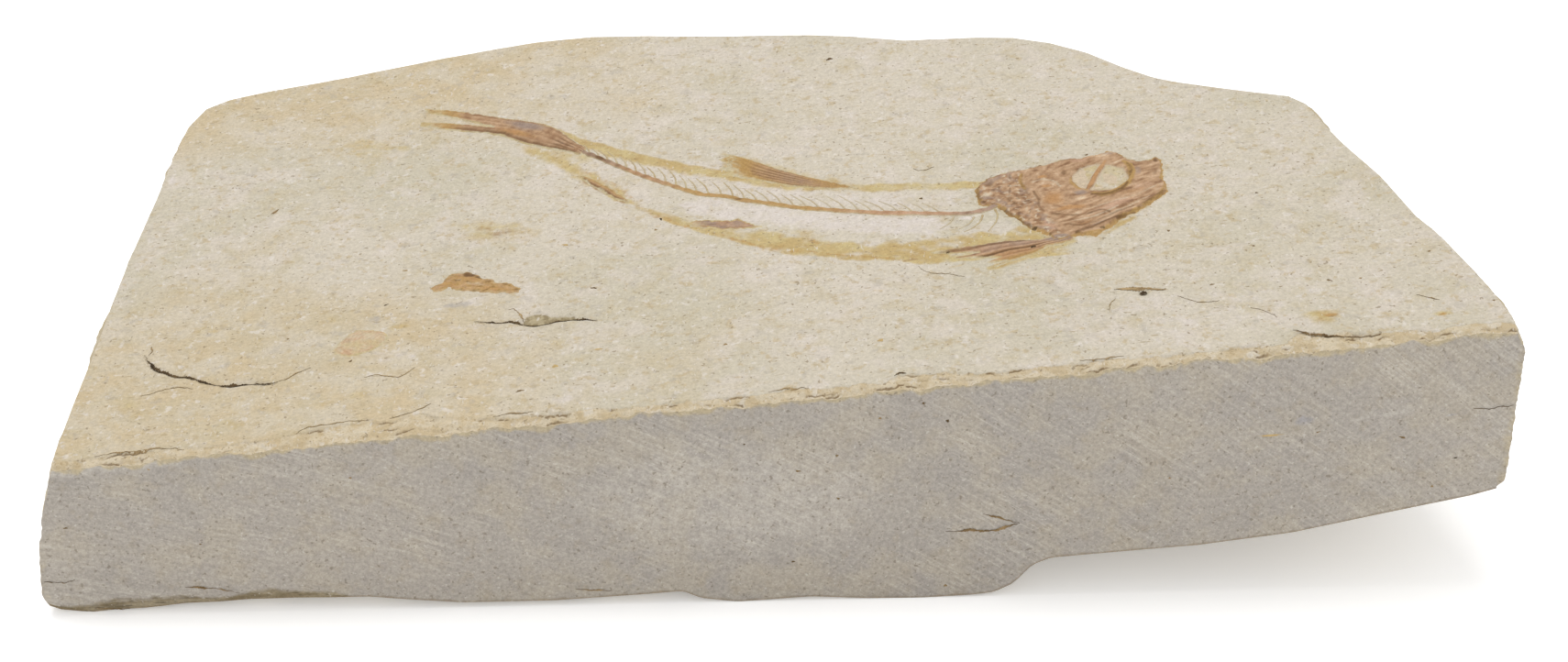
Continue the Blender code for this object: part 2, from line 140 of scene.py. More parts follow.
TAIL_LOWER = [
    (-42.2, 66.1), (-40, 65.1), (-37, 63.8), (-34, 62.7), (-32, 61.7), (-30.5, 60.3), (-29, 59),
    (-27, 57.8), (-25, 56.8), (-23.4, 56), (-22.4, 55),
]
PECTORAL_UPPER = [
    (33.2, 26.6), (31, 26.6), (29.4, 26.1), (26, 26.5), (23.6, 26.3), (20.4, 26), (17.2, 25.7),
]
PECTORAL_LOWER = [
    (33.2, 25.4), (31.6, 24.6), (30, 24.4), (28.6, 23.2), (26, 22.2), (24.6, 21.5), (23.4, 21),
]
PECTORAL_TIPS = [
    (16.9, 25.3), (19.4, 24.9), (22.4, 24.6), (19.8, 24.2), (19.6, 23.8), (22.6, 23.4), (24.8, 23.2),
    (23.2, 22.5), (23.6, 22.2), (25.4, 22.3), (23.5, 21.2), (23.8, 21),
]
# Loose remains
GUT_STREAK = [
    (-10.2, 37.3), (-7.6, 37.4), (-5, 36.7), (-4, 36.9), (-3.2, 36.3), (-2.4, 35.4), (-1.3, 34.7),
    (-3.4, 34.6), (-5.4, 34.8), (-7.4, 35.5), (-9.2, 36.3),
]
FRAGMENT = [
    (-38.6, 28.2), (-37.4, 29.1), (-36.9, 30.2), (-36.4, 30.8), (-35.3, 30.7), (-34.5, 30.9), (-33.4, 29.9),
    (-33, 29.2), (-31.9, 28.8), (-31, 27.8), (-30.1, 27.9), (-28.6, 26.3), (-28.8, 25.5), (-30.5, 25.9),
    (-33, 26.4), (-35.2, 27.2), (-36, 27.5), (-36.7, 28.1), (-37.5, 27.2), (-38.3, 27.4),
]
SCALE_OUTLINE = [
    (-48.8, 17), (-48.2, 18.4), (-47.5, 19.7), (-46.4, 20.7), (-44.6, 20.6), (-43.1, 19.7), (-42.8, 18.6),
    (-43.5, 17.5), (-44.8, 16.2), (-46.8, 15.7), (-48.3, 16.2),
]

# ================================================================ breaks and flecks
POCKET = [
    (-28.2, 19), (-27.9, 20.2), (-27.4, 21), (-26.3, 21.1), (-25.1, 20.3), (-24.2, 20), (-22.8, 19.8),
    (-21.4, 19.1), (-20.6, 18.6), (-22.4, 18.9), (-24.2, 18.8), (-25.5, 18.4), (-26.9, 18.3),
]
POCKET_DEPTH = 0.34
HOLE_CENTRE, HOLE_DEPTH = (39.2, 13.35), 0.6
# Cracks: points, half width, depth of the groove, tone of the line (0 dark, painted shade in the open crack;
# 1 ochre filling)
CRACKS = [
    ([
        (-69.9, 20.2), (-69.2, 18.7), (-68.3, 17.1), (-67.2, 16.3), (-65.9, 15.2), (-64.4, 15),
        (-62.7, 13.8), (-60.8, 12.75), (-59.5, 12.3), (-58.1, 12.5), (-56.8, 12.3), (-55.5, 11.9),
        (-54.3, 12.05),
    ], 0.16, 0.26, 0.08),
    ([(-54.6, 12), (-53.4, 12.4), (-52.9, 12.9), (-52.2, 13.5), (-50.9, 14.2)], 0.08, 0, 0.45),
    ([(-69.1, 11.9), (-68, 12.1), (-66.6, 12.7), (-65.1, 13), (-63.5, 12.4)], 0.08, 0, 0.5),
    ([(-69.4, 19.9), (-69, 20.6), (-69.3, 21.6)], 0.08, 0, 0.5),
    ([
        (-33.4, 20.3), (-31.7, 19.9), (-29.4, 19.6), (-27.9, 18.85), (-26.9, 18.4), (-25.5, 18.5),
        (-24.2, 18.95), (-22.4, 19), (-20.7, 18.5), (-19.8, 18.1),
    ], 0.19, 0.15, 0.14),
    ([(-29.7, 22.2), (-29.1, 22.4), (-28.6, 21.4), (-28.2, 20.2), (-27.8, 19.3)], 0.18, 0, 0.55),
    ([(36.2, 14.6), (37.6, 14.45), (39.2, 14.1), (40.4, 13.7), (41.6, 13.35)], 0.27, 0, 0.46),
    ([(35.2, 10.4), (35.4, 11.6), (36.1, 12.9)], 0.06, 0, 0.6),
    ([(42.6, 11.9), (44.5, 10.5), (46.1, 10.2), (46.9, 10.4)], 0.07, 0, 0.45),
    ([(53.6, 3.5), (55.2, 2.6), (57.5, 1.8), (60, 1.4), (62.4, 1.3)], 0.13, 0.12, 0.34),
    ([(50, 8.6), (50.7, 8.1), (51.6, 7.4), (52.4, 6.2)], 0.07, 0, 0.45),
    ([(67.3, 7.7), (68.2, 7.1), (69.5, 6.3)], 0.12, 0, 0.4),
    ([(15.6, 23), (16.6, 21.6), (17.5, 21.2), (19, 20.9), (20.5, 20)], 0.06, 0, 0.5),
    ([(16.6, 44.6), (17.1, 43.95), (17.9, 43.9), (19, 44.5)], 0.09, 0, 0.5),
    ([
        (-44.8, 11.1), (-43.6, 11.4), (-42, 10.8), (-41.1, 10.6), (-40.2, 11.15), (-39.4, 12.2),
    ], 0.09, 0, 0.65),
    ([(-51.3, 1.8), (-50.2, 2.75), (-48.5, 3), (-46.1, 3.2), (-43.7, 3.05)], 0.08, 0, 0.62),
    ([(-41.5, 2.95), (-40, 3.4), (-38, 4.4), (-37.2, 5)], 0.08, 0, 0.6),
    ([(-72.5, 1), (-70.6, 1.3), (-68.5, 1.2), (-66, 1.4), (-63, 1.1)], 0.09, 0, 0.5),
    ([(-30.5, 1.4), (-29, 1.8), (-27.6, 1.5), (-26.3, 1.7)], 0.08, 0, 0.5),
    ([(-1.6, 1.2), (0.4, 1.5), (2.6, 1.3)], 0.08, 0, 0.55),
    ([(11.6, 1.9), (12.3, 2.3), (12.9, 2.1)], 0.16, 0, 0.15),
    ([(31, 1.4), (33.4, 1.3), (35.6, 1.5)], 0.08, 0, 0.5),
]
# Crumbs and coloured flecks in the top face: x, y, length, width, turn, tone (0 dark, 0.5 brown, 1 ochre)
BITS = [
    (38, 14.45, 3.4, 0.62, -0.12, 0.72), (40.8, 13.75, 2.2, 0.3, -0.25, 0.6),
    (39.2, 13.35, 0.8, 0.62, 0.1, 0.06), (-12.8, 38.6, 0.75, 0.3, 1.8, 0.05),
    (-58.3, 48.6, 1.5, 0.42, 0.9, 0.4), (54.3, 31.7, 0.6, 0.5, 0, 0.2), (8.2, 73, 0.9, 0.6, 0.4, 0.2),
    (17, 37.7, 0.45, 0.4, 0.3, 0.3), (29, 28.45, 0.7, 0.5, 0.5, 0.3), (28.45, 24.5, 0.7, 0.3, 0.35, 0.08),
    (36.5, 27.1, 0.5, 0.35, 0.3, 0.42), (36.6, 43.7, 0.6, 0.35, 0.8, 0.35),
    (-43.5, 25.5, 0.8, 0.26, 0.5, 0.1), (-20.3, 25, 0.8, 0.3, -0.2, 0.25),
    (-41.8, 32.4, 0.7, 0.35, 0.1, 0.7), (-46.6, 14.7, 0.55, 0.3, 0.9, 0.3),
    (-27.8, 5.85, 0.9, 0.3, 0.2, 0.35), (-5.9, 10.8, 0.5, 0.45, 0.3, 0.5), (10.6, 8.8, 0.8, 0.5, 0.4, 0.9),
    (43.6, 25.6, 0.4, 0.4, 0.2, 0.35), (-13.4, 36.3, 0.4, 0.45, 0.1, 0.55),
    (-23.7, 34.9, 0.9, 0.4, -0.3, 0.95), (62.3, 12.2, 0.4, 0.3, 0.2, 0.45),
    (59, 12.4, 0.8, 0.3, -0.6, 0.35), (46.6, 13.6, 0.7, 0.3, 0.3, 0.45), (75, 5.4, 0.4, 0.4, 0.1, 0.35),
    (70.4, 16, 0.6, 0.4, 0.4, 0.4), (-19.6, 12.4, 1, 0.28, 0.05, 0.9), (-24.2, 9.9, 0.7, 0.6, 0.4, 0.95),
    (19.1, 25.15, 0.45, 0.25, 0.4, 0.3), (-54, 20.5, 0.3, 0.25, 0.3, 0.4),
    (30.5, 57.5, 0.35, 0.25, 0.3, 0.5), (52.2, 20.5, 0.3, 0.25, 0.2, 0.4),
]
# The same on the sawn side, where the second place is a height
FACE_CRACKS = [
    ([(17.4, 8.9), (19.4, 9), (21.2, 9), (22.8, 9), (24.2, 9.5), (25.4, 9.9)], 0.2, 0, 0.35),
    ([(21.4, 11.2), (22.8, 10.8), (24.2, 10.2), (25.3, 9.9)], 0.12, 0, 0.4),
    ([(72.8, 23.7), (74.4, 23.6), (75.8, 23.75), (77.1, 24)], 0.08, 0, 0.3),
    ([(-79.6, 4.7), (-78.4, 4.6), (-77.3, 4.5), (-76.2, 4.8)], 0.26, 0, 0.35),
    ([(-64.6, 3.6), (-62.4, 3.4), (-60.6, 3.2), (-58.8, 2.6)], 0.17, 0, 0.4),
    ([(-22.6, 2.2), (-20.4, 2), (-18.6, 1.9)], 0.08, 0, 0.5),
    ([(-74.6, 1), (-72.4, 0.9), (-70.8, 0.8)], 0.14, 0, 0.3),
]
FACE_BITS = [
    (51.6, 20.7, 3, 0.3, 0.06, 1), (-4.2, 20.9, 0.3, 0.25, 0, 0.25), (10.1, 23.9, 0.4, 0.35, 0, 0.55),
    (17.2, 23.4, 0.45, 0.4, 0, 0.2), (5.6, 19.2, 0.4, 0.35, 0, 0.4), (1, 5.3, 0.5, 0.28, 0.2, 0.2),
    (14.6, 25.7, 0.35, 0.35, 0, 0.3), (5.8, 13.6, 0.5, 0.3, -0.4, 0.35), (1.5, 17.3, 0.7, 0.3, -0.1, 0.4),
    (17.6, 1.6, 0.5, 0.4, 0, 0.5), (65.7, 20.1, 1, 0.32, -0.3, 0.4), (71.7, 17.3, 0.55, 0.22, 0.1, 0.05),
    (56.6, 21, 0.6, 0.2, 0.3, 0.35), (69.6, 13.6, 0.4, 0.35, 0, 0.55), (-45.8, 17.6, 0.4, 0.3, 0, 0.5),
    (-62.4, 9.3, 0.35, 0.22, 0, 0.35), (41.2, 15.4, 0.3, 0.3, 0, 0.5), (-76.4, 11.8, 0.6, 0.25, 0.2, 0.35),
    (-66.8, 19.2, 0.4, 0.2, -0.4, 0.6),
]


# ================================================================ helpers: shapes over the plane
SCATTER = (127.1, 311.7, 74.7, 43758.5453)   # spreads the headings of the slopes evenly
SWELL_GAIN = 1.55                            # brings the swells up to about -1 to 1


def ramp(low, high, x):
    """0 at low, 1 at high and smooth between, where low may be the larger of the two."""
    t = np.clip((x - low) / (high - low), 0, 1)
    return t * t * (3 - 2 * t)


def slope_at(i, j, seed, a, b):
    """Height at (a, b) from a grid corner, on a slope with a heading of its own."""
    h = np.sin(i * SCATTER[0] + j * SCATTER[1] + seed * SCATTER[2]) * SCATTER[3]
    turn = 2 * np.pi * (h - np.floor(h))
    return a * np.cos(turn) + b * np.sin(turn)


def swell(x, y, size, seed):
    """Smooth uneven ground, about -1 to 1, whose bumps are about size across."""
    x, y = np.asarray(x, float) / size, np.asarray(y, float) / size
    turn = 0.6 + 1.3 * seed
    x, y = x * np.cos(turn) - y * np.sin(turn), x * np.sin(turn) + y * np.cos(turn)
    i, j = np.floor(x), np.floor(y)
    a, b = x - i, y - j
    s, t = a**3 * (a * (6 * a - 15) + 10), b**3 * (b * (6 * b - 15) + 10)
    low = slope_at(i, j, seed, a, b) * (1 - s) + slope_at(i + 1, j, seed, a - 1, b) * s
    high = slope_at(i, j + 1, seed, a, b - 1) * (1 - s) + slope_at(i + 1, j + 1, seed, a - 1, b - 1) * s
    return SWELL_GAIN * (low * (1 - t) + high * t)


def line_place(x, y, line):
    """How far each point is from a line and along it, and on which side (1 left, -1 right)."""
    best = np.full(np.shape(x), np.inf)
    along, side = np.zeros(np.shape(x)), np.ones(np.shape(x))
    run = 0.0
    for (ax, ay), (bx, by) in zip(line[:-1], line[1:]):
        dx, dy = bx - ax, by - ay
        length = math.hypot(dx, dy)
        t = np.clip(((x - ax) * dx + (y - ay) * dy) / length**2, 0, 1)
        d = np.hypot(x - ax - t * dx, y - ay - t * dy)
        near = d < best
        along = np.where(near, run + t * length, along)
        side = np.where(near, np.where(dx * (y - ay) - dy * (x - ax) >= 0, 1.0, -1.0), side)
        best = np.minimum(best, d)
        run += length
    return best, along, side


def right_of(x, y, line):
    """Distance of each point from a line, negative on its left."""
    d, _, side = line_place(x, y, line)
    return -side * d


def depth_inside(x, y, outline):
    """Distance of each point inside a closed outline from its edge, negative outside."""
    edge = line_place(x, y, outline + outline[:1])[0]
    inside = np.zeros(np.shape(x), bool)
    for (ax, ay), (bx, by) in zip(outline, outline[1:] + outline[:1]):
        if ay != by:
            inside ^= ((ay > y) != (by > y)) & (x < (bx - ax) * (y - ay) / (by - ay) + ax)
    return np.where(inside, edge, -edge)


def level(line, x):
    return np.interp(x, *zip(*line))


def length_of(line):
    return sum(math.dist(a, b) for a, b in zip(line[:-1], line[1:]))


def stroke(x, y, line, half, soft):
    """1 on a drawn line, fading to 0 at its sides, with tapered ends."""
    d, along, _ = line_place(x, y, line)
    total = length_of(line)
    tip = min(1.2, total / 3)
    taper = 0.35 + 0.65 * ramp(0, tip, along) * ramp(0, tip, total - along)
    return ramp(half * taper + soft, np.maximum(half * taper - soft * 0.5, 0), d)


def smudge(x, y, centre, radii, turn=0.0):
    """1 in the middle of a soft oval, 0 outside it."""
    c, s = math.cos(turn), math.sin(turn)
    u, v = x - centre[0], y - centre[1]
    return ramp(1, 0.15, np.hypot((u * c + v * s) / radii[0], (v * c - u * s) / radii[1]))


def painted(x, y, marks):
    """The masks that the marks paint: each mark is (strength, line, half width, softness)
    or (strength, centre, radii, turn)."""
    masks = {}
    for key, shapes in marks.items():
        masks[key] = np.max([
            strength * (stroke if isinstance(place, list) else smudge)(x, y, place, *size)
            for strength, place, *size in shapes
        ], axis=0)
    return masks


def resample(line, step):
    """Even points along a line with its corners rounded, and how far along each one is."""
    points = np.array(line, float)
    run = np.concatenate([[0], np.cumsum(np.hypot(*np.diff(points, axis=0).T))])
    at = np.linspace(0, run[-1], max(2, math.ceil(run[-1] / step) + 1))
    path = np.stack([np.interp(at, run, points[:, 0]), np.interp(at, run, points[:, 1])], 1)
    for _ in range(2):
        path[1:-1] = 0.5 * path[1:-1] + 0.25 * (path[:-2] + path[2:])
    return path, at


def headings(path):
    """The unit heading of a path at each of its points."""
    heading = np.gradient(path, axis=0)
    return heading / np.hypot(heading[:, 0], heading[:, 1])[:, None]


def refined(line, times):
    """The same chain of points with each of its straight pieces divided."""
    at = np.arange((len(line) - 1) * times + 1) / times
    low = np.minimum(at.astype(int), len(line) - 2)
    part = (at - low).reshape([-1] + [1] * (line.ndim - 1))
    return line[low] * (1 - part) + line[low + 1] * part


def along_edge(edge, index, share):
    """Where an edge is at each share of its reach: the coordinate that index names, and the other one."""
    keys = np.array([p[index] for p in edge], float)
    other = np.array([p[1 - index] for p in edge], float)
    at = keys[0] + (keys[-1] - keys[0]) * share
    order = np.argsort(keys)
    return at, np.interp(at, keys[order], other[order])


# ================================================================ the stone's ground
def ground(x, y):
    """Height of the split top face without the fish."""
    z = TOP_HEIGHT + TOP_RISE * x
    z = z + TOP_WAVE * swell(x, y, 27, 1) + 0.5 * TOP_WAVE * swell(x, y, 11, 2)
    bed = swell(x, y, 19, 14) + 0.35 * swell(x, y, 6, 15)
    return z + BED_SKIN * ramp(0.12, 0.24, bed) * ramp(40, 30, y) * ramp(2, 8, y)


def edge_steps(x, y):
    """The crumbled strip along the sawn edge: how far it has dropped, how bare it is, and the painted shade
    along its crevices.
    """
    width = 0.86 * level(EDGE_STRIP, x) + 0.3 * swell(x, 0 * x, 3.1, 4)
    drop, bare, crevice_shade = 0 * x, 0 * x, 0 * x
    for number, share in enumerate(CRUMB_STEPS):
        line = share * width + 0.22 * swell(x, y, 1.5, 5 + number) + 0.13 * swell(x, 1.3 * y, 0.6, 8 + number)
        present = np.clip(0.5 + 1.4 * swell(x, 0 * x, 4.5, 11 + number), 0.08, 1)
        drop = drop + CRUMB_DROP * present * ramp(line + 0.07, line - 0.07, y)
        gaping = present * ramp(-0.1, 0.35, swell(x, y, 2.6, 14 + number))
        # painted shade: a dark line just in front of each step, where it drops
        crevice_shade = np.maximum(crevice_shade, gaping * ramp(0.15, 0.03, np.abs(y - line + 0.09)))
        if not number:
            bare = ramp(line + 0.12, line - 0.12, y)
    crumb = 0.10 * swell(x, 1.4 * y, 0.9, 61) + 0.07 * swell(x, 1.2 * y, 0.45, 62)
    rim = 0.22 * swell(x, 0 * x, 1.7, 17) + 0.16 * swell(x, 0 * x, 0.7, 18)
    drop = drop + bare * (0.08 + crumb) + (0.16 + rim) * ramp(0.9, 0, y)
    return drop, bare, crevice_shade


def pocket_floor(x, y):
    """1 on the floor of the pocket, 0 outside it."""
    return ramp(-0.15, 0.5, depth_inside(x, y, POCKET) + 0.12 * swell(x, y, 0.8, 22))


def hole_distance(x, y):
    return np.hypot(x - HOLE_CENTRE[0], y - HOLE_CENTRE[1])


def grooves(x, y):
    """The cracks that gape: length, half width and depth, and how far each point is from it and along it."""
    for line, half, deep, _ in CRACKS:
        if deep:
            d, along, _ = line_place(x + 0.15 * swell(x, y, 1.6, 21), y, line)
            yield length_of(line), half, deep, d, along


def stone_height(x, y):
    """The top face of the stone itself, with its crumbled edge, thin torn skins, cracks and pocket."""
    z = ground(x, y) - edge_steps(x, y)[0] + 0.016 * swell(x, y, 3.1, 64) + 0.012 * swell(x, y, 1.5, 65)
    skin = swell(x, y, 4.6, 66) + 0.4 * swell(x, y, 1.7, 67)
    z = z + TORN_SKIN * ramp(0.28, 0.36, skin) * ramp(0.45, -0.35, swell(x, y, 24, 68) + (y - 30) / 60)
    z = z - POCKET_DEPTH * pocket_floor(x, y)
    for length, half, deep, d, along in grooves(x, y):
        taper = 0.3 + 0.7 * ramp(0, 3, along) * ramp(0, 3, length - along)
        z = z - deep * taper * ramp(half + 0.4, 0, d) + 0.04 * taper * ramp(2.2, 0.5, d)
    return z - HOLE_DEPTH * ramp(0.55, 0.15, hole_distance(x, y))


def foot_height(x, y, from_edge):
    """Height of the underside: a lower bed that the slab rests on, and a step up to the next bed."""
    low = np.clip(FOOT_SWELL * (0.05 + swell(x, y, 18, 31) + 0.3 * swell(x, y, 7.5, 32)), 0, None)
    past = x - STEP_X - STEP_DRIFT * y - 2.6 * swell(y, 0 * y, 13, 33) * ramp(0, 8, y)
    up = STEP_HEIGHT * ramp(0, 3.6, past) + UPPER_BED_RISE * np.clip(past - 4, 0, None)
    up = up + 0.5 * swell(x, y, 12, 34) * ramp(2, 8, past)
    worn = 1.9 * (1 + 0.5 * swell(x, y, 7, 35)) * ramp(3.4, 0, from_edge)
    inner = low * ramp(6, 0, past) + up + worn
    front = level(SAWN_FOOT, x)
    return np.clip(front + (inner - front) * ramp(0, 7, y), 0, None)


def side_reach(run, height, thick):
    """How far a broken side stands out past the top outline, run mm round the outline."""
    reach, last, floor = 0 * run, 0 * run, 0
    for number, next_level in enumerate(BED_LEVELS + (99,)):
        large, small = swell(run, 0.3 * height, 15, 50 + number), swell(run, height, 5.5, 70 + number)
        bed = BED_STEP * (0.5 + large + 0.22 * small)
        wobble = 0.9 * swell(run, 0 * run, 23, 90 + number)
        over = ramp(-0.35, 0.35, height - floor - wobble) if number else 1
        reach, last, floor = reach + (bed - last) * over, bed, next_level
    # a hackly break: small facets, and thin laminae on the larger ledges
    facet = 1 - 2 * np.abs(swell(run, 1.5 * height, 4.2, 23))
    facet = facet + 0.5 * (1 - 2 * np.abs(swell(run, 1.6 * height, 1.9, 24)))
    lamina = np.sin(height * 3.1 + 1.6 * swell(run, height, 9, 25) + 5 * swell(run, 0 * run, 30, 26))
    fine = 0.20 * facet + 0.10 * lamina * ramp(-0.3, 0.5, swell(run, height * 2, 12, 27))
    return (reach + fine) * ramp(0, 1.7, thick - height)


def top_outline_point(u, v):
    """The flat outline filled smoothly: u runs along the sawn side and v to the back, each from 0 to 1."""
    left_y, left_x = along_edge(LEFT_EDGE, 1, v)
    right_y, right_x = along_edge(RIGHT_EDGE, 1, v)
    back_x, back_y = along_edge(BACK_EDGE, 0, u)
    front_x = LEFT_EDGE[0][0] + (RIGHT_EDGE[0][0] - LEFT_EDGE[0][0]) * u
    x = (1 - v) * front_x + v * back_x + (1 - u) * left_x + u * right_x
    y = v * back_y + (1 - u) * left_y + u * right_y
    for corner, share in (
        (LEFT_EDGE[0], (1 - u) * (1 - v)), (RIGHT_EDGE[0], u * (1 - v)),
        (LEFT_EDGE[-1], (1 - u) * v), (RIGHT_EDGE[-1], u * v),
    ):
        x, y = x - share * corner[0], y - share * corner[1]
    return x, y


BORDER_POWER = 9             # the forms of the broken sides die out within a few cells of the grid's border
BEVEL_POWER = 24             # and the bevel's sooner still
RIGHT_RUN, BACK_RUN = 200, 400   # places on the ledges' pattern where the right and the back side start


def slab_point(u, v, w):
    """A point of the slab's surface from its shares of the length, depth and height: (x, y, z)."""
    x0, y0 = top_outline_point(u, v)
    top = stone_height(x0, y0)

    def spread(share, thick):
        """The outline at this share of the height, as the broken sides and the flared ends move it."""
        height = share * thick
        past_corner = ramp(0, 7, y0)
        corner = ramp(8, 0, y0) * ramp(0, 1.5, thick - height)

        def knocked(rough, seed, fine_seed, worn, tall):
            """The chips up a front corner, and its worn foot."""
            chips = swell(height, y0, 2.2, seed) + 0.7 * swell(height, y0, 0.9, fine_seed)
            return rough * corner * chips - worn * corner * ramp(tall, 0, height)

        left = FLARE_LEFT * (1 - share**2) * ramp(13, 0, y0) + side_reach(y0, height, thick) * past_corner
        left = left + knocked(0.14, 28, 29, 0.5, 1.4)
        right = BULGE_RIGHT * ramp(1, 0.88, share) * ramp(22, 4, y0)
        right = right + side_reach(RIGHT_RUN + y0, height, thick) * past_corner
        right = right + knocked(0.16, 30, 36, 0.8, 1.8)
        back = side_reach(BACK_RUN + x0, height, thick) + 0.4 * ramp(1, 0.5, share)
        left, right, back = left * (1 - u) ** BORDER_POWER, right * u**BORDER_POWER, back * v**BORDER_POWER
        return x0 - left + right, y0 + back + 0.3 * ramp(0, 12, y0) * right

    thick = top - 1.5 - ramp(STEP_X, STEP_X + 4, x0) * STEP_HEIGHT
    from_edge = np.minimum(np.minimum(u, 1 - u) * SLAB_LENGTH, (1 - v) * SLAB_DEPTH)
    foot = foot_height(*spread(0 * w, thick), from_edge)
    x, y = spread(w, thick)
    z = foot + (top - foot) * w
    bevel = BEVEL_DEPTH * ramp(BEVEL_END + 3, BEVEL_END - 18, x) * (1 + 0.25 * swell(x, 0 * x, 5, 41))
    y = y + bevel * (1 - v) ** BEVEL_POWER * np.clip(1 - (z - foot) / BEVEL_HEIGHT, 0, 1) ** 1.2 * (w < 0.5)
    return np.stack([x, y, z], axis=-1)


# ================================================================ helpers: meshes
SCENE_PARTS = bpy.data.collections.new("fossil_fish_slab_visual")
bpy.context.scene.collection.children.link(SCENE_PARTS)
FILM_LIFT = 0.03             # a film of bone lies this far above the ground
CRACK_STEP, THREAD_STEP = 0.12, 0.3      # spacing of the points along a crack and along a rod
THREAD_SIDES, THREAD_SUNK = 4, 0.02
BIT_CORNERS = 10


def build_mesh(name, points, faces, masks, material, sharp=None):
    """An object from points in mm from the datum, faces, and a value per point for each mask."""
    mesh = bpy.data.meshes.new(name)
    places = (np.asarray(points, float) - (MIDDLE_X, MIDDLE_Y, 0)) * MM
    mesh.from_pydata(places.tolist(), [], [tuple(f) for f in faces])
    for key, values in masks.items():
        layer = mesh.attributes.new(key, "FLOAT", "POINT")
        layer.data.foreach_set("value", np.ascontiguousarray(values, np.float32))
    mesh.polygons.foreach_set("use_smooth", np.ones(len(mesh.polygons), bool))
    mesh.materials.append(material)
    if sharp:
        mesh.set_sharp_from_angle(angle=math.radians(sharp))
    mesh.update()
    piece = bpy.data.objects.new(name, mesh)
    SCENE_PARTS.objects.link(piece)
    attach(piece, "root")
    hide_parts("slab")


def grid_faces(rows, columns, flip=False):
    i, j = np.meshgrid(np.arange(rows - 1), np.arange(columns - 1), indexing="ij")
    a = (i * columns + j).ravel()
    quads = np.stack([a, a + columns, a + columns + 1, a + 1], 1)
    return quads[:, ::-1] if flip else quads


def grid_piece(name, points, masks, material, flip=False, sharp=None):
    """An object from a grid of points."""
    rows, columns = points.shape[:2]
    build_mesh(name, points.reshape(-1, 3), grid_faces(rows, columns, flip), masks, material, sharp)


def shares(spans):
    """Grid lines from 0 to 1. Each span is (where it ends, its number of cells)."""
    lines = [0.0]
    for end, cells in spans:
        start = lines[-1]
        lines += [start + (end - start) * (i + 1) / cells for i in range(cells)]
    return np.array(lines)


def film(name, outline, cell, rise, masks, material, seed, ragged, edge, margin=0.3, fading=0.8):
    """A thin sheet of bone on the stone. Its edge dips under the stone, so its border is ragged.
    rise(x, y, depth) is its height and masks(x, y, depth) its shading values."""
    xs, ys = (np.arange(min(p) - 0.5, max(p) + 0.5 + cell, cell) for p in zip(*outline))
    x, y = (a.ravel() for a in np.meshgrid(xs, ys, indexing="ij"))
    depth = depth_inside(x, y, outline) + ragged * (swell(x, y, 0.9, seed) + 0.6 * swell(x, y, 0.4, seed + 1))
    keep = depth > -margin
    quads = grid_faces(len(xs), len(ys))
    quads = quads[keep[quads].all(axis=1)]
    used = np.unique(quads)
    place = np.full(len(x), -1)
    place[used] = np.arange(len(used))
    x, y, depth = x[used], y[used], depth[used]
    z = ground(x, y) + FILM_LIFT + rise(x, y, depth) * ramp(0, edge, depth)
    z = z - 0.12 * ramp(0.02, -margin, depth)
    shading = masks(x, y, depth)
    shading["fade"] = np.maximum(shading.get("fade", 0 * x), fading * ramp(0.42, 0, depth))
    build_mesh(name, np.stack([x, y, z], 1), place[quads], shading, material)


def across(x, y, edge_a, edge_b):
    """0 on edge_a, 1 on edge_b, and even between."""
    a, b = line_place(x, y, edge_a)[0], line_place(x, y, edge_b)[0]
    return a / np.maximum(a + b, 1e-6)


def ribbons(name, lines, place, material, seed=7):
    """Cracks: flat ribbons that follow each line, with ragged sides, thin places and gaps. Their dark tones
    are painted shade in the open cracks, paler at the sides.
    """
    points, faces, tones = [], [], []
    for number, (line, half, deep, ochre) in enumerate(lines):
        path, at = resample(line, CRACK_STEP)
        heading = headings(path)
        sideways = np.stack([-heading[:, 1], heading[:, 0]], 1)
        row = 0 * at + number * 3.7
        total = at[-1]
        taper = ramp(0, min(3.5, total / 2.5), at + 0.1) * ramp(0, min(2.5, total / 2.5), total - at + 0.1)
        wide = np.clip(0.6 + 1.1 * swell(at, row, 2.1, seed) + 0.6 * swell(at, row, 0.6, seed + 1), 0.06, 1.5)
        wander = 0.12 * swell(at, row, 1.1, seed + 2) + 0.09 * swell(at, row, 0.4, seed + 3)
        middle = path + sideways * wander[:, None]
        reach = sideways * (half * taper * wide)[:, None]
        shade = ochre + 0.16 * swell(at, row, 1.3, seed + 4)
        first = len(points)
        for i in range(len(at)):
            for side in (-1, 0, 1):
                a, b = middle[i] + reach[i] * side * (1 + 0.3 * math.sin(i * 2.3 + side))
                points.append(place(a, b, 0.05 + 0.3 * deep - 0.05 * (side == 0)))
                # paler toward the sides: the painted shade is darkest down the middle of a crack
                tones.append(shade[i] + 0.14 * abs(side) * taper[i])
            if i:
                k = first + i * 3
                faces += [(k - 3, k - 2, k + 1, k), (k - 2, k - 1, k + 2, k + 1)]
    build_mesh(name, points, faces, {"ochre": np.array(tones)}, material)


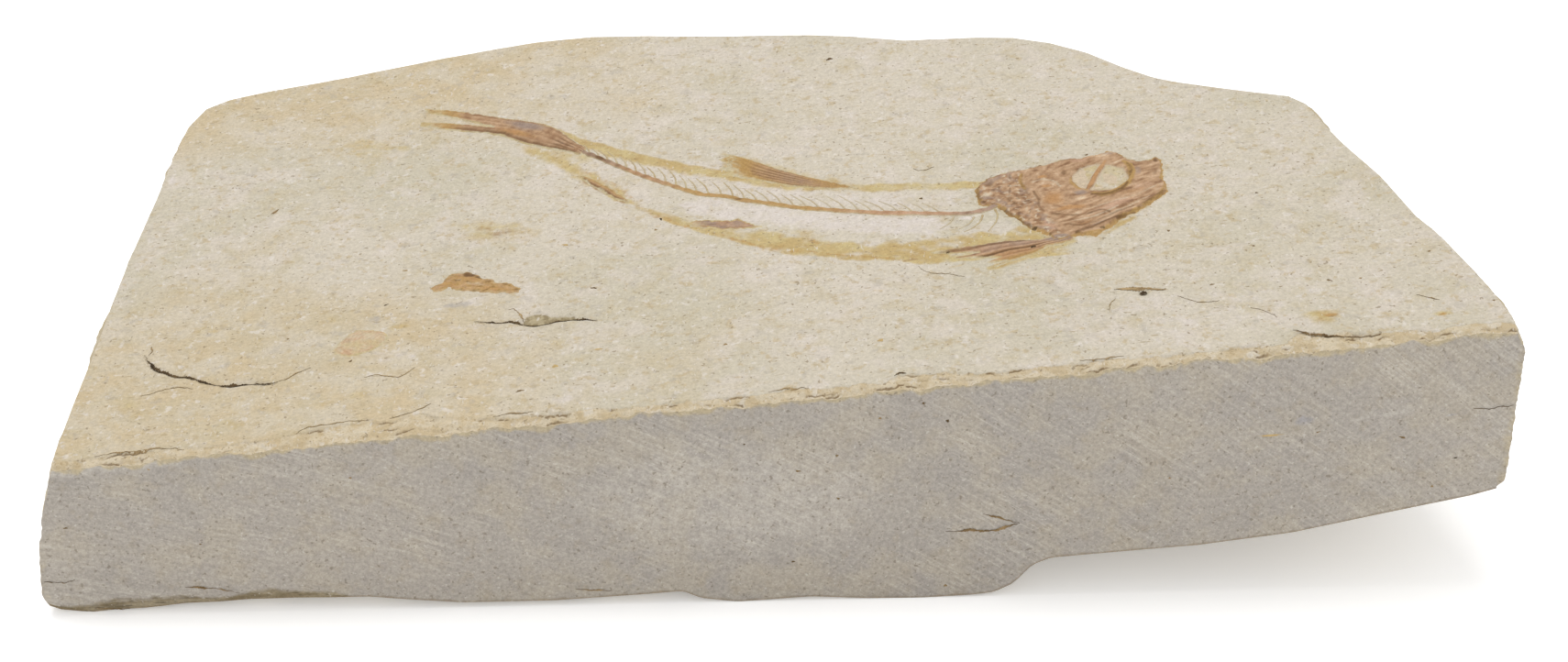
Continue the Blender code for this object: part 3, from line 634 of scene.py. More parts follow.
def bits(name, marks, place, material, thick):
    """Tiny flattened crumbs set in the surface: a middle point and two uneven rings round it."""
    points, faces, tones = [], [], []
    for number, (cx, cy, long, wide, turn, shade) in enumerate(marks):
        c, s = math.cos(turn), math.sin(turn)
        first = len(points)
        points.append(place(cx, cy, thick))
        for ring, (reach, lift) in enumerate(((0.55, 0.85 * thick), (1.0, -0.01))):
            for k in range(BIT_CORNERS):
                angle = 2 * math.pi * k / BIT_CORNERS + 0.3 * ring
                uneven = 0.24 * math.sin(3 * angle + number * 1.7) + 0.16 * math.sin(5 * angle + number * 2.9)
                r = 0.5 * reach * (1 + uneven)
                a, b = long * r * math.cos(angle), wide * r * math.sin(angle)
                points.append(place(cx + a * c - b * s, cy + a * s + b * c, lift))
        tones += [shade] * (1 + 2 * BIT_CORNERS)
        inner, outer = first + 1, first + 1 + BIT_CORNERS
        for k in range(BIT_CORNERS):
            m = (k + 1) % BIT_CORNERS
            faces += [(first, inner + k, inner + m), (inner + k, outer + k, outer + m, inner + m)]
    build_mesh(name, points, faces, {"ochre": np.array(tones)}, material)


def threads(name, curves, material):
    """Fine half-buried rods. Each curve is (points, radius at the start, radius at the end, height, fade)."""
    points, faces, fades = [], [], []
    sides = THREAD_SIDES
    for number, (line, r0, r1, lift, fade) in enumerate(curves):
        path, at = resample(line, THREAD_STEP)
        heading = headings(path)
        first = len(points)
        for i in range(len(at)):
            t = at[i] / at[-1]
            r = (r0 + (r1 - r0) * t) * (0.9 + 0.2 * math.sin(i * 1.9 + number))
            for k in range(sides + 1):
                angle = math.pi * k / sides
                a = path[i, 0] - heading[i, 1] * r * math.cos(angle)
                b = path[i, 1] + heading[i, 0] * r * math.cos(angle)
                points.append((a, b, float(ground(a, b)) - THREAD_SUNK + (lift + r * 0.8) * math.sin(angle)))
                fades.append(fade + 0.2 * t)
            if i:
                row = first + i * (sides + 1)
                faces += [(row - sides - 1 + k, row + k, row + k + 1, row - sides + k) for k in range(sides)]
    build_mesh(name, points, faces, {"fade": np.clip(fades, 0, 1)}, material)


def on_top(a, b, lift):
    return (a, b, float(stone_height(np.array([a]), np.array([b]))[0]) + lift)


def on_face(a, b, lift):
    return (a, -lift, b)


# ================================================================ helpers: materials
LIGHT = 1.4                  # how bright the studio makes a level white surface
SAWN_GAIN = 1.13             # the sawn side gets less light than the top
BRIGHTEST = 0.92
BEDDED = (0.4, 1, 2)         # stretches that draw the noises out along the beds
LAMINATED = (0.22, 0.22, 1.6)


def tone(r, g, b, gain=1.0):
    """A surface colour that looks like this 0-255 colour on the level top of the slab."""
    values = []
    for c in (r / 255, g / 255, b / 255):
        c = c / 12.92 if c <= 0.04045 else ((c + 0.055) / 1.055) ** 2.4
        values.append(min(BRIGHTEST, c * gain / LIGHT))
    return (*values, 1.0)


class Shader:
    """A material under construction. Places are in mm, and a shade is a 0-255 colour or a node's output."""

    def __init__(self, name, roughness, specular, gain=1.0):
        self.material = bpy.data.materials.new(name)
        self.material.use_nodes = True
        self.tree = self.material.node_tree
        self.tree.nodes.clear()
        inputs = {"Roughness": roughness, "Specular IOR Level": specular}
        self.body = self.node("ShaderNodeBsdfPrincipled", inputs)
        self.node("ShaderNodeOutputMaterial", {"Surface": self.body.outputs[0]})
        inputs = {0: self.node("ShaderNodeTexCoord", {}).outputs["Object"], 1: (1 / MM,) * 3}
        self.place = self.node("ShaderNodeVectorMath", inputs, operation="MULTIPLY").outputs[0]
        self.gain = gain
        self.shift = 0.0

    def node(self, kind, inputs, **settings):
        made = self.tree.nodes.new(kind)
        for key, value in settings.items():
            setattr(made, key, value)
        for key, value in inputs.items():
            if isinstance(value, bpy.types.NodeSocket):
                self.tree.links.new(value, made.inputs[key])
            else:
                made.inputs[key].default_value = value
        return made

    def noise(self, size, detail, stretch=(1, 1, 1), vector=None):
        """Uneven values about 0.3 to 0.7, in bumps about size mm across. Each call gives another pattern."""
        self.shift += 17.3
        inputs = {0: vector or self.place, 1: stretch, 2: (self.shift, -self.shift, 0.7 * self.shift)}
        moved = self.node("ShaderNodeVectorMath", inputs, operation="MULTIPLY_ADD").outputs[0]
        inputs = {"Vector": moved, "Scale": 1 / size, "Detail": detail, "Roughness": 0.55}
        return self.node("ShaderNodeTexNoise", inputs).outputs[0]

    def mask(self, key):
        return self.node("ShaderNodeAttribute", {}, attribute_name=key).outputs["Fac"]

    def math(self, operation, *values):
        return self.node("ShaderNodeMath", dict(enumerate(values)), operation=operation).outputs[0]

    def total(self, *parts):
        """The sum of values, each given with its weight."""
        value, weight = parts[-1]
        result = self.math("MULTIPLY", value, weight)
        for value, weight in parts[-2::-1]:
            result = self.math("MULTIPLY_ADD", value, weight, result)
        return result

    def span(self, low, high, value, start, end, kind="LINEAR"):
        """The value carried from low..high over to start..end."""
        inputs = {"Value": value, "From Min": low, "From Max": high, "To Min": start, "To Max": end}
        return self.node("ShaderNodeMapRange", inputs, interpolation_type=kind).outputs[0]

    def between(self, low, high, value, top=1.0):
        return self.span(low, high, value, 0.0, top, "SMOOTHSTEP")

    def torn(self, key, uneven, reach, low, high, top):
        """A mask whose border is broken up by uneven values."""
        moved = self.math("MULTIPLY_ADD", uneven, reach, self.math("SUBTRACT", self.mask(key), 0.5 * reach))
        return self.between(low, high, moved, top)

    def mix(self, share, a, b, blend="MIX"):
        a, b = (s if isinstance(s, bpy.types.NodeSocket) else tone(*s, self.gain) for s in (a, b))
        made = self.node("ShaderNodeMix", {0: share, 6: a, 7: b}, data_type="RGBA", blend_type=blend)
        return made.outputs[2]

    def patches(self, colour, *layers):
        """Uneven patches over a colour. A layer is (value, where it starts and is full, strength, shade)."""
        for value, low, high, top, shade in layers:
            colour = self.mix(self.between(low, high, value, top), colour, shade)
        return colour

    def stains(self, colour, *layers):
        """Masks with torn borders over a colour. A layer is (mask, uneven values, their reach, where the mask
        starts and is full, strength, shade)."""
        for key, uneven, reach, low, high, top, shade in layers:
            colour = self.mix(self.torn(key, uneven, reach, low, high, top), colour, shade)
        return colour

    def scale(self, value, *shades):
        """The colour at value on an even scale, from the first shade at 0 to the last at 1."""
        made = self.node("ShaderNodeValToRGB", {0: value})
        stops = made.color_ramp.elements
        stops[0].color, stops[1].color = tone(*shades[0]), tone(*shades[-1])
        for number, shade in enumerate(shades[1:-1], 1):
            stops.new(number / (len(shades) - 1)).color = tone(*shade)
        return made.outputs[0]

    def grained(self, colour, *grains):
        """The colour made darker and lighter by uneven values. A grain is (value, darkest, lightest)."""
        for value, low, high in grains:
            light = self.span(0.3, 0.7, value, low, high)
            grey = self.node("ShaderNodeCombineColor", {0: light, 1: light, 2: light}).outputs[0]
            colour = self.mix(1.0, colour, grey, "MULTIPLY")
        return colour

    def finish(self, colour, height, distance, strength):
        self.tree.links.new(colour, self.body.inputs["Base Color"])
        inputs = {"Height": height, "Distance": distance * MM, "Strength": strength}
        self.tree.links.new(self.node("ShaderNodeBump", inputs).outputs[0], self.body.inputs["Normal"])
        return self.material


def limestone_colour(s):
    """The split stone: cream with warmer and paler clouds, and specks of ochre and grey."""
    big, wide = s.noise(26, 2), s.noise(11, 3)
    mid, mid2, small = s.noise(4.6, 3), s.noise(3.1, 3), s.noise(1.3, 3)
    warm = s.mix(s.between(0.36, 0.66, mid), (210, 190, 154), (213, 200, 175))
    colour = s.mix(s.between(0.36, 0.64, big), (216, 206, 188), (208, 199, 178))
    colour = s.patches(colour, (mid, 0.48, 0.66, 0.55, (223, 212, 200)))
    colour = s.stains(colour, ("warm", wide, 0.8, 0.25, 0.95, 0.88, warm))
    return s.patches(
        colour,
        (mid2, 0.50, 0.68, 0.45, (202, 188, 156)),
        (small, 0.56, 0.70, 0.60, (196, 176, 138)),
        (s.noise(1.0, 2), 0.60, 0.72, 0.60, (231, 223, 213)),
        (s.noise(1.7, 2), 0.60, 0.70, 0.35, (184, 176, 164)),
    )


def top_material():
    s = Shader("limestone_split", 0.92, 0.22)
    colour = limestone_colour(s)
    mid, small, small2 = s.noise(3.4, 3), s.noise(1.2, 3), s.noise(0.9, 2)
    grain, fine = s.noise(0.42, 2), s.noise(0.2, 1)
    # stains of the fish
    film_shade = s.mix(s.between(0.38, 0.62, mid), (206, 186, 133), (197, 170, 113))
    film_shade = s.patches(film_shade, (small, 0.55, 0.68, 0.7, (186, 154, 98)))
    pocket_shade = s.mix(s.between(0.42, 0.58, small2), (184, 169, 134), (150, 133, 97))
    colour = s.stains(
        colour,
        ("ochre", s.noise(1.6, 4), 1.2, 0.20, 0.95, 0.92, film_shade),
        ("rust", small2, 1.0, 0.30, 0.75, 0.85, (186, 146, 88)),
        ("brown", small, 1.0, 0.30, 0.75, 0.85, (166, 134, 96)),
        ("pale", s.noise(1.5, 4), 1.3, 0.25, 0.95, 0.85, (226, 216, 208)),
        ("grey", small2, 1.6, 0.30, 0.95, 0.75, (184, 176, 166)),
        ("green", small2, 0.8, 0.30, 0.70, 0.90, pocket_shade),
    )
    # crumbled strip along the sawn edge, with painted highlights and painted shadows among its crumbs
    chips = s.torn("crust", small2, 1.3, 0.2, 0.8, 0.9)
    crumb = s.mix(s.between(0.4, 0.6, s.noise(1.7, 4)), (221, 206, 178), (208, 188, 152))
    # paler patches on the crumbs: painted highlights
    crumb = s.patches(crumb, (s.noise(1.3, 4), 0.55, 0.66, 0.7, (230, 220, 203)))
    colour = s.mix(chips, colour, crumb)
    # darker ochre-brown dots among the crumbs: painted shadows
    colour = s.mix(s.math("MULTIPLY", chips, s.between(0.58, 0.68, grain, 0.5)), colour, (152, 130, 94))
    # dark brown from the mask: painted shade in the crevices and gaping cracks; it also lies along the
    # pocket's front rim and round the hole
    colour = s.stains(colour, ("dirt_and_crevice_shade", grain, 0.9, 0.25, 0.85, 0.8, (126, 102, 70)))
    # grains, and dark and pale fibres
    colour = s.grained(colour, (grain, 0.90, 1.08), (fine, 0.94, 1.055))
    colour = s.patches(
        colour,
        (s.noise(0.5, 2, (0.35, 1.5, 1)), 0.655, 0.720, 0.55, (170, 150, 116)),
        (s.noise(0.5, 2, (1.4, 0.45, 1)), 0.655, 0.720, 0.55, (232, 225, 214)),
        (s.noise(0.5, 1), 0.685, 0.735, 0.6, (140, 122, 96)),
    )
    height = s.total((s.math("MULTIPLY", chips, small2), 2.4), (grain, 0.7), (small, 0.9), (fine, 0.35))
    return s.finish(colour, height, 0.12, 0.6)


def sawn_material():
    s = Shader("limestone_sawn", 0.88, 0.25, SAWN_GAIN)
    phase, along = s.mask("saw"), s.node("ShaderNodeSeparateXYZ", {0: s.place}).outputs[0]

    def marks(size, detail, speed, layer):
        """Uneven values drawn out along the arcs that the saw left."""
        inputs = {0: phase, 1: s.math("MULTIPLY", along, speed), 2: layer}
        return s.noise(size, detail, vector=s.node("ShaderNodeCombineXYZ", inputs).outputs[0])

    main, broad, narrow = marks(0.42, 1, 0.05, 0.0), marks(1.15, 2, 0.035, 5.0), marks(0.26, 1, 0.12, 9.0)
    small, grain, fine = s.noise(1.2, 3), s.noise(0.4, 2), s.noise(0.2, 1)
    colour = s.mix(s.between(0.36, 0.64, s.noise(22, 2)), (178, 170, 159), (171, 164, 155))
    colour = s.patches(
        colour,
        (s.noise(6, 3), 0.46, 0.62, 0.60, (182, 172, 155)),
        (s.noise(2.4, 3), 0.52, 0.68, 0.34, (164, 157, 151)),
        (s.noise(1.7, 3), 0.54, 0.68, 0.30, (164, 151, 130)),
    )
    strong = s.span(0.36, 0.62, s.noise(13, 2), 0.15, 1.0)
    strong = s.math("MULTIPLY", strong, s.span(0.35, 0.65, s.noise(4.5, 2), 0.45, 1.0))
    for value, low, high, top, shade in (
        (main, 0.54, 0.68, 0.55, (197, 189, 176)), (main, 0.48, 0.34, 0.34, (156, 148, 138)),
        (broad, 0.52, 0.68, 0.40, (189, 181, 167)), (narrow, 0.57, 0.70, 0.50, (203, 196, 184)),
    ):
        colour = s.mix(s.math("MULTIPLY", strong, s.between(low, high, value, top)), colour, shade)
    # dark olive-brown rind along the foot: weathered rind darkened with painted shade, as the bevel under it
    # faces down
    worn = s.mix(s.between(0.4, 0.6, s.noise(2.2, 3, BEDDED)), (162, 149, 122), (128, 113, 84))
    worn = s.patches(worn, (s.noise(0.9, 2, BEDDED), 0.55, 0.7, 0.8, (82, 68, 46)))
    colour = s.stains(
        colour,
        ("blue", small, 0.9, 0.30, 0.80, 0.60, (158, 158, 166)),
        ("light", small, 0.9, 0.30, 0.80, 0.55, (200, 193, 182)),
        ("yellow", small, 0.9, 0.20, 0.80, 0.75, (190, 173, 136)),
        ("rind_and_shade", small, 0.8, 0.25, 0.75, 0.95, worn),
        ("rim", small, 0.9, 0.30, 0.90, 0.55, (138, 120, 92)),
    )
    colour = s.grained(colour, (grain, 0.85, 1.11), (fine, 0.90, 1.08))
    colour = s.patches(
        colour,
        (s.noise(0.45, 1), 0.665, 0.73, 0.55, (121, 109, 92)),
        (s.noise(0.45, 1), 0.670, 0.74, 0.50, (210, 204, 194)),
    )
    return s.finish(colour, s.total((main, 0.6), (broad, 0.8), (grain, 0.7), (fine, 0.35)), 0.06, 0.55)


def broken_material():
    s = Shader("limestone_broken", 0.93, 0.2)
    beds, bands = s.noise(2.6, 3, LAMINATED), s.noise(0.9, 2, LAMINATED)
    wide, mid, small = s.noise(17, 3), s.noise(5, 3), s.noise(1.4, 3)
    grain, fine = s.noise(0.45, 2), s.noise(0.2, 1)
    colour = s.mix(s.between(0.38, 0.62, beds), (212, 200, 176), (199, 185, 156))
    colour = s.patches(
        colour,
        (wide, 0.50, 0.66, 0.70, (196, 178, 142)),
        (bands, 0.52, 0.66, 0.55, (184, 164, 126)),
        (mid, 0.52, 0.70, 0.50, (220, 210, 192)),
        (s.noise(8, 3, (0.5, 0.5, 1.6)), 0.58, 0.70, 0.75, (178, 146, 98)),
        (small, 0.60, 0.70, 0.50, (168, 150, 120)),
    )
    # the weathered bed that the slab rests on
    worn = s.mix(s.between(0.42, 0.62, mid), (172, 158, 130), (148, 132, 102))
    worn = s.patches(
        worn,
        (s.noise(9, 3), 0.50, 0.68, 0.80, (190, 176, 148)),
        (s.noise(2.4, 3), 0.56, 0.70, 0.75, (118, 102, 74)),
        (s.noise(1.1, 2), 0.64, 0.72, 0.60, (92, 80, 60)),
    )
    colour = s.stains(
        colour,
        ("rind_and_shade", small, 0.8, 0.25, 0.75, 1.0, worn),
        ("dirt_and_crevice_shade", small, 0.8, 0.30, 0.80, 0.5, (140, 122, 92)),
    )
    colour = s.grained(colour, (grain, 0.93, 1.06), (fine, 0.955, 1.04))
    colour = s.patches(colour, (s.noise(0.6, 1), 0.68, 0.74, 0.5, (140, 122, 94)))
    return s.finish(colour, s.total((small, 1.6), (bands, 0.8), (grain, 0.7), (fine, 0.3)), 0.16, 0.7)


def bone_material():
    s = Shader("fossil_bone", 0.85, 0.1)
    mid, small, grain, fine = s.noise(2.0, 3), s.noise(0.8, 3), s.noise(0.35, 2), s.noise(0.17, 1)
    streak = s.math("MULTIPLY_ADD", mid, 0.4, s.math("SUBTRACT", s.mask("streak"), 0.55))
    streak = s.math("MULTIPLY_ADD", small, 0.7, streak)
    colour = s.scale(streak, (130, 98, 72), (159, 123, 93), (186, 151, 118), (206, 172, 139), (226, 201, 170))
    for key, uneven, top, shade in (
        ("orange", mid, 0.85, (196, 149, 101)), ("rosy", small, 0.75, (203, 163, 139)),
        ("grey", mid, 0.85, (162, 144, 134)), ("ochre", small, 0.90, (190, 154, 96)),
        ("pale", small, 0.90, (217, 200, 174)), ("dark", small, 0.92, (118, 88, 60)),
    ):
        colour = s.stains(colour, (key, uneven, 0.8, 0.12, 0.9, top, shade))
    thin = s.mix(s.between(0.4, 0.6, mid), (211, 199, 168), (206, 188, 144))
    colour = s.stains(colour, ("fade", small, 0.8, 0.1, 0.9, 1.0, thin))
    colour = s.grained(colour, (grain, 0.88, 1.09), (fine, 0.93, 1.06))
    return s.finish(colour, s.total((small, 1.1), (grain, 0.8), (fine, 0.4)), 0.10, 0.7)


def line_material():
    s = Shader("crack_shade_and_filling", 0.95, 0.1)
    grain = s.noise(0.5, 2)
    ochre = s.math("MULTIPLY_ADD", grain, 0.3, s.math("SUBTRACT", s.mask("ochre"), 0.15))
    # dark to ochre: painted shade in the open cracks, ochre filling, and the specks' own colours
    colour = s.scale(ochre, (64, 52, 38), (106, 86, 60), (158, 133, 97), (186, 160, 119), (205, 176, 120))
    return s.finish(s.grained(colour, (grain, 0.9, 1.1)), grain, 0.05, 0.5)


def spine_material():
    s = Shader("fossil_spine", 0.8, 0.25)
    grain, small = s.noise(0.4, 2), s.noise(1.6, 2)
    colour = s.mix(s.between(0.4, 0.6, small), (199, 180, 136), (188, 164, 120))
    colour = s.mix(s.mask("fade"), colour, (212, 203, 184))
    return s.finish(s.grained(colour, (grain, 0.92, 1.06)), grain, 0.04, 0.5)


# ================================================================ the stone
# The grid: U along the sawn side, V to the back and W up the sides
STRIP = 0.055                # the crumbled strip's share of the depth
EDGE_TIMES = 3               # how much finer the grid is along the sawn edge
UNDER_TIMES = 2              # and how much coarser it is on the underside
BROKEN_ANGLE = 42            # facets of the broken sides that meet at more than this many degrees stay sharp
U = shares([(0.04, 12), (0.16, 56), (0.21, 12), (0.82, 280), (1, 42)])
U_FINE = refined(U, EDGE_TIMES)
V_STRIP = shares([(STRIP, 34)])
V_TOP = STRIP + (1 - STRIP) * shares([(0.07, 14), (0.2, 34), (0.9, 156), (1, 14)])
V = np.concatenate([V_STRIP, V_TOP[1:]])
W = np.linspace(0, 1, 61)
W = 0.7 * W + 0.3 * (0.5 - 0.5 * np.cos(np.pi * W))

TOP_MARKS = {
    "ochre": [
        # stains round the fins and the head
        (0.62, (-34.2, 64.3), (3.4, 1.3), -0.5),
        (0.6, [(9.7, 41.5), (5.6, 43.8), (2, 46), (-2, 49.4), (-4.6, 51.2)], 0.9, 1.2),
        (0.7, [(-4.8, 51.4), (-5, 49), (-5.2, 47.2)], 0.5, 0.7),
        (0.85, [(33, 25.2), (30.6, 24.1), (28, 23), (25.4, 21.8), (23.4, 21.1)], 0.45, 0.7),
        (0.8, [(-29, 58.2), (-26.4, 55.8), (-23.4, 52.4), (-20.4, 48.4), (-17.6, 45.4)], 0.8, 1.3),
        (0.6, [(-27.4, 57.4), (-24.6, 55.6), (-22.4, 53.6)], 0.9, 0.9),
        (0.56, (-22, 54.2), (5, 1.9), -0.9), (0.34, (-15, 47.2), (4, 1.4), -0.8),
        (0.55, (3.4, 32.4), (4.6, 1.8), -0.5), (0.75, (27.6, 28.2), (2.2, 1.4), 0.3),
        (0.8, [(37, 26.3), (38.4, 27.7), (40.2, 29)], 0.3, 0.5),
        # patches of rust in the stone
        (0.9, (57.2, 5.6), (3.6, 2.2), 0.1), (0.8, (69.2, 3.8), (1.7, 0.9)),
        (0.62, (23.6, 62.3), (1.9, 1.5), 0.3), (0.65, (-41.6, 20.8), (2.2, 1.1), 0.1),
        (0.6, (-35.3, 12.2), (0.8, 0.9)), (0.6, (-24.2, 9.8), (0.9, 1)),
        (0.42, (-60.4, 4.6), (8, 2.4), 0.05), (0.36, (46, 12.9), (3.2, 1.6), 0.1),
        (0.38, (-48, 24), (4.2, 1.6), 0.2), (0.38, (-63, 24), (6, 2), 0.3),
        (0.3, (44, 66), (4.4, 2.4), -0.8), (0.32, (-5, 20.5), (5, 2), 0.1), (0.28, (8, 13), (6, 2.2), 0.1),
        (0.45, (-47, 7.5), (9, 1.8), 0.1), (0.4, (-70, 10), (3, 5), 0.2), (0.34, (-24, 14), (6, 2), 0.15),
        (0.6, (-32, 39.4), (9.4, 4.6), -0.3), (0.5, (-48, 62), (9, 5), -0.3),
    ],
    "rust": [
        (1, (57.9, 5.6), (1.3, 0.6), -0.1), (0.95, (69.3, 3.7), (1, 0.6)),
        (0.55, (-3.6, 31.9), (1.6, 0.7), -0.7),
        (0.5, [(-14, 39.9), (-10.6, 37), (-5.2, 33), (-1, 30), (2.4, 28.6)], 0.35, 0.6),
        (0.5, [(2.6, 29), (6.4, 27.2), (10.6, 25.9), (13.4, 25)], 0.2, 0.5),
        (0.45, [(3.6, 31.4), (5.2, 29.6), (8.6, 29.2)], 0.35, 0.6),
        (0.4, [(-22, 51.4), (-18.6, 47.6), (-16.2, 44)], 0.5, 0.8),
    ],
    "brown": [
        (0.75, [(13, 25), (14.1, 24.4), (15.6, 24.5)], 0.18, 0.3),
        (0.55, [(-22.6, 50.4), (-19.9, 46.4), (-17, 43)], 0.25, 0.45),
        (0.3, COLUMN[2:], 0.5, 0.6), (0.42, (-32, 39.6), (7.4, 3.4), -0.35),
    ],
    "pale": [
        # bleached flesh beside the backbone
        (0.95, (17.2, 32.8), (3.4, 1.2), -0.15), (0.9, (21.8, 32.4), (1.6, 0.7), -0.2),
        (0.75, [(-10, 41.6), (-4, 38.6), (2, 36.2), (8, 33.7), (14, 32.2), (19, 31)], 1.7, 1.4),
        (0.5, [(-16, 51), (-7, 45.4), (0, 42.2), (8, 39.2), (16, 37.2), (22, 36.6)], 1.5, 1.4),
        # clouds and chips in the stone
        (0.65, (-33.5, 24.6), (3.6, 1.5), 0.2), (0.5, (-41.5, 14.8), (6.5, 2.8), 0.15),
        (0.45, (-35, 19), (5, 3), 0.1), (0.95, (-71.8, 58.5), (0.8, 2), 0.1),
        (0.5, (-66, 4.8), (3.2, 1.1), 0.1), (0.55, (-23, 3.4), (3, 1.2), 0.2),
        (0.42, (46, 9), (34, 10), 0.05), (0.35, (-40, 51), (9, 3), -0.5), (0.95, (-70.5, 0.5), (4.5, 0.45)),
        (0.8, (-27, 0.6), (4, 0.5)), (0.8, (39, 0.7), (3, 0.5)),
    ],
    "grey": [(0.85, (-35.3, 24.1), (3.2, 1.1)), (0.7, (-44.6, 22.6), (2.2, 1.5), 0.1)],
}


def body_stains(x, y):
    """The yellow stain under the back, wider toward the tail, and the broad ragged one along the belly."""
    below = right_of(x, y, BACK_LINE) + 0.3 * swell(x, y, 2.4, 100)
    wide = 1.5 + 0.3 * swell(x, y, 5, 101) + 0.35 * ramp(10, -6, x)
    back = ramp(-0.5, 0.35, below) * ramp(wide + 0.7, wide - 0.5, below)
    back = back * ramp(-31, -25, x) * ramp(27, 24.5, x)
    back = back * (0.90 + 0.12 * ramp(4, -8, x) + 0.24 * swell(x, y, 4, 102))
    outside = right_of(x, y, BELLY_LINE) + 0.3 * swell(x, y, 1.6, 104)
    inside = right_of(x, y, BELLY_INNER) + 0.7 * swell(x, y, 2.6, 103)
    belly = ramp(0.4, -0.4, outside) * ramp(-0.9, 0.8, inside) * ramp(-30, -26, x) * ramp(34, 30, x)
    streaks = swell(1.6 * x + 0.6 * y, 0.6 * x + 2.4 * y, 2.4, 106)
    return np.maximum(back, belly * (0.83 + 0.34 * swell(x, y, 3.4, 105) + 0.34 * streaks))


def top_masks(points):
    x, y = points[..., 0].ravel(), points[..., 1].ravel()
    masks = painted(x, y, TOP_MARKS)
    halo = 0.55 * ramp(-0.6, 0, depth_inside(x, y, HEAD) + 0.2 * swell(x, y, 1.2, 108))
    masks["ochre"] = np.max([masks["ochre"], body_stains(x, y), halo], axis=0)
    masks["green"] = pocket_floor(x, y)
    # the front left of the face is warmer, and so is its far left corner
    far = np.hypot((x + 66) / 82, (y - 4) / 46)
    far_corner = ramp(50, 72, y) * ramp(20, -50, x)
    masks["warm"] = 0.95 * ramp(1.15, 0.1, far) + 0.3 * swell(x, y, 16, 110) + 0.95 * far_corner
    _, bare, dirt_and_crevice_shade = edge_steps(x, y)
    loose = 0.5 * ramp(4.4, 2.0, y) * ramp(0.1, 0.5, swell(x, y, 5, 111)) * ramp(-20, -34, x)
    masks["crust"] = np.maximum(bare, loose)
    # painted shade in the crevices of the crumbled strip and along the gaping cracks; the same darkening lies
    # along the pocket's front rim and round the hole
    for _, half, _, d, along in grooves(x, y):
        dirt_and_crevice_shade = np.maximum(dirt_and_crevice_shade, 0.7 * ramp(half + 0.25, 0, d) * ramp(0, 0.8, along + 0.3))
    rim = ramp(0.5, 0.1, np.abs(depth_inside(x, y, POCKET) - 0.1)) * ramp(19.4, 18.6, y - 0.02 * (x + 25))
    masks["dirt_and_crevice_shade"] = np.max([dirt_and_crevice_shade, 0.7 * rim, ramp(0.5, 0.2, hole_distance(x, y))], axis=0)
    return masks


def from_edges(points):
    """How far each point of a side is above the side's foot and below its top."""
    z = points[..., 2]
    return (z - z[:, :1]).ravel(), (z[:, -1:] - z).ravel()


def build_top(stone):
    """The split face and, on a finer grid, its crumbled front edge."""
    u, v = np.meshgrid(U, V_TOP, indexing="ij")
    points = slab_point(u, v, np.ones_like(u))
    grid_piece("stone_top", points, top_masks(points), stone)
    border = points[:, 0]
    u, v = np.meshgrid(U_FINE, V_STRIP, indexing="ij")
    points = slab_point(u, v, np.ones_like(u))
    points[:, -1] = refined(border, EDGE_TIMES)
    grid_piece("sawn_edge", points, top_masks(points), stone)


def build_underside(stone):
    """The underside. Gives back its front border, and the border round its other three sides."""
    u, v = np.meshgrid(U[::UNDER_TIMES], V[::UNDER_TIMES], indexing="ij")
    points = slab_point(u, v, np.zeros_like(u))
    x, y, _ = points.reshape(-1, 3).T
    fresh = ramp(0.1, 0.5, swell(x, y, 22, 141)) * ramp(26, 32, x - STEP_DRIFT * y)
    masks = {
        "rind_and_shade": 0.92 + 0.3 * swell(x, y, 14, 140) - 0.5 * fresh,
        "dirt_and_crevice_shade": ramp(0.3, 0.9, swell(x, y, 6, 142)),
    }
    grid_piece("stone_underside", points, masks, stone, flip=True)
    return points[:, 0], np.concatenate([points[0], points[1:, -1], points[-1, ::-1][1:]])


def build_sawn_side(stone, front):
    u, w = np.meshgrid(U_FINE, W, indexing="ij")
    points = slab_point(u, 0 * u, w)
    points[:, 0] = refined(front, UNDER_TIMES * EDGE_TIMES)
    above, below = from_edges(points)
    x, _, z = points.reshape(-1, 3).T
    # the saw's arcs, and the height of the band along the foot: weathered rind, partly darkened with painted
    # shade where the bevel faces down
    drop = 0.306 * (x + 60) + 0.00222 * (x + 60) ** 2
    band = 1.25 * BEVEL_HEIGHT * (0.75 + 0.3 * swell(x, 0 * x, 6, 120) + 0.35 * swell(x, 0 * x, 16, 121))
    band = band * ramp(BEVEL_END + 3, BEVEL_END - 14, x) * (0.5 + 0.5 * ramp(-80, -70, x))
    masks = painted(x, z, {
        "blue": [(0.62, (55.2, 22.6), (2.6, 1.3)), (0.6, (70.4, 22.9), (1.8, 0.5), 0.1)],
        "light": [
            (0.7, [(56.5, 21.7), (61, 22.6), (67.4, 23.5)], 0.16, 0.35),
            (0.45, (64, 23.6), (6, 2.2), 0.2), (0.6, (-6, 14), (36, 16)),
        ],
    })
    masks["light"] = np.maximum(masks["light"], 0.7 * ramp(2.2, 0.2, below) * ramp(-56, -66, x))
    masks["saw"] = z + drop + 0.3 * swell(x, z, 14, 122)
    # darker toward the foot: the rind, with painted shade of the downward-facing bevel
    masks["rind_and_shade"] = 0.55 * ramp(band + 0.4, band - 0.5, above) + 0.45 * ramp(0.8 * band, 0.1 * band, above)
    masks["rind_and_shade"] = masks["rind_and_shade"] * ramp(0.2, 0.9, band)
    masks["rim"] = ramp(0.55, 0, above) + 0.5 * ramp(-79, -80, x)
    masks["yellow"] = np.max([
        0.75 * ramp(0.9, 0, below + 0.5 * swell(x, z, 2, 123)),
        0.5 * ramp(75.6, 77.6, x), 0.35 * ramp(-78.2, -79.6, x),
    ], axis=0)
    grid_piece("sawn_side", points, masks, stone, flip=True)


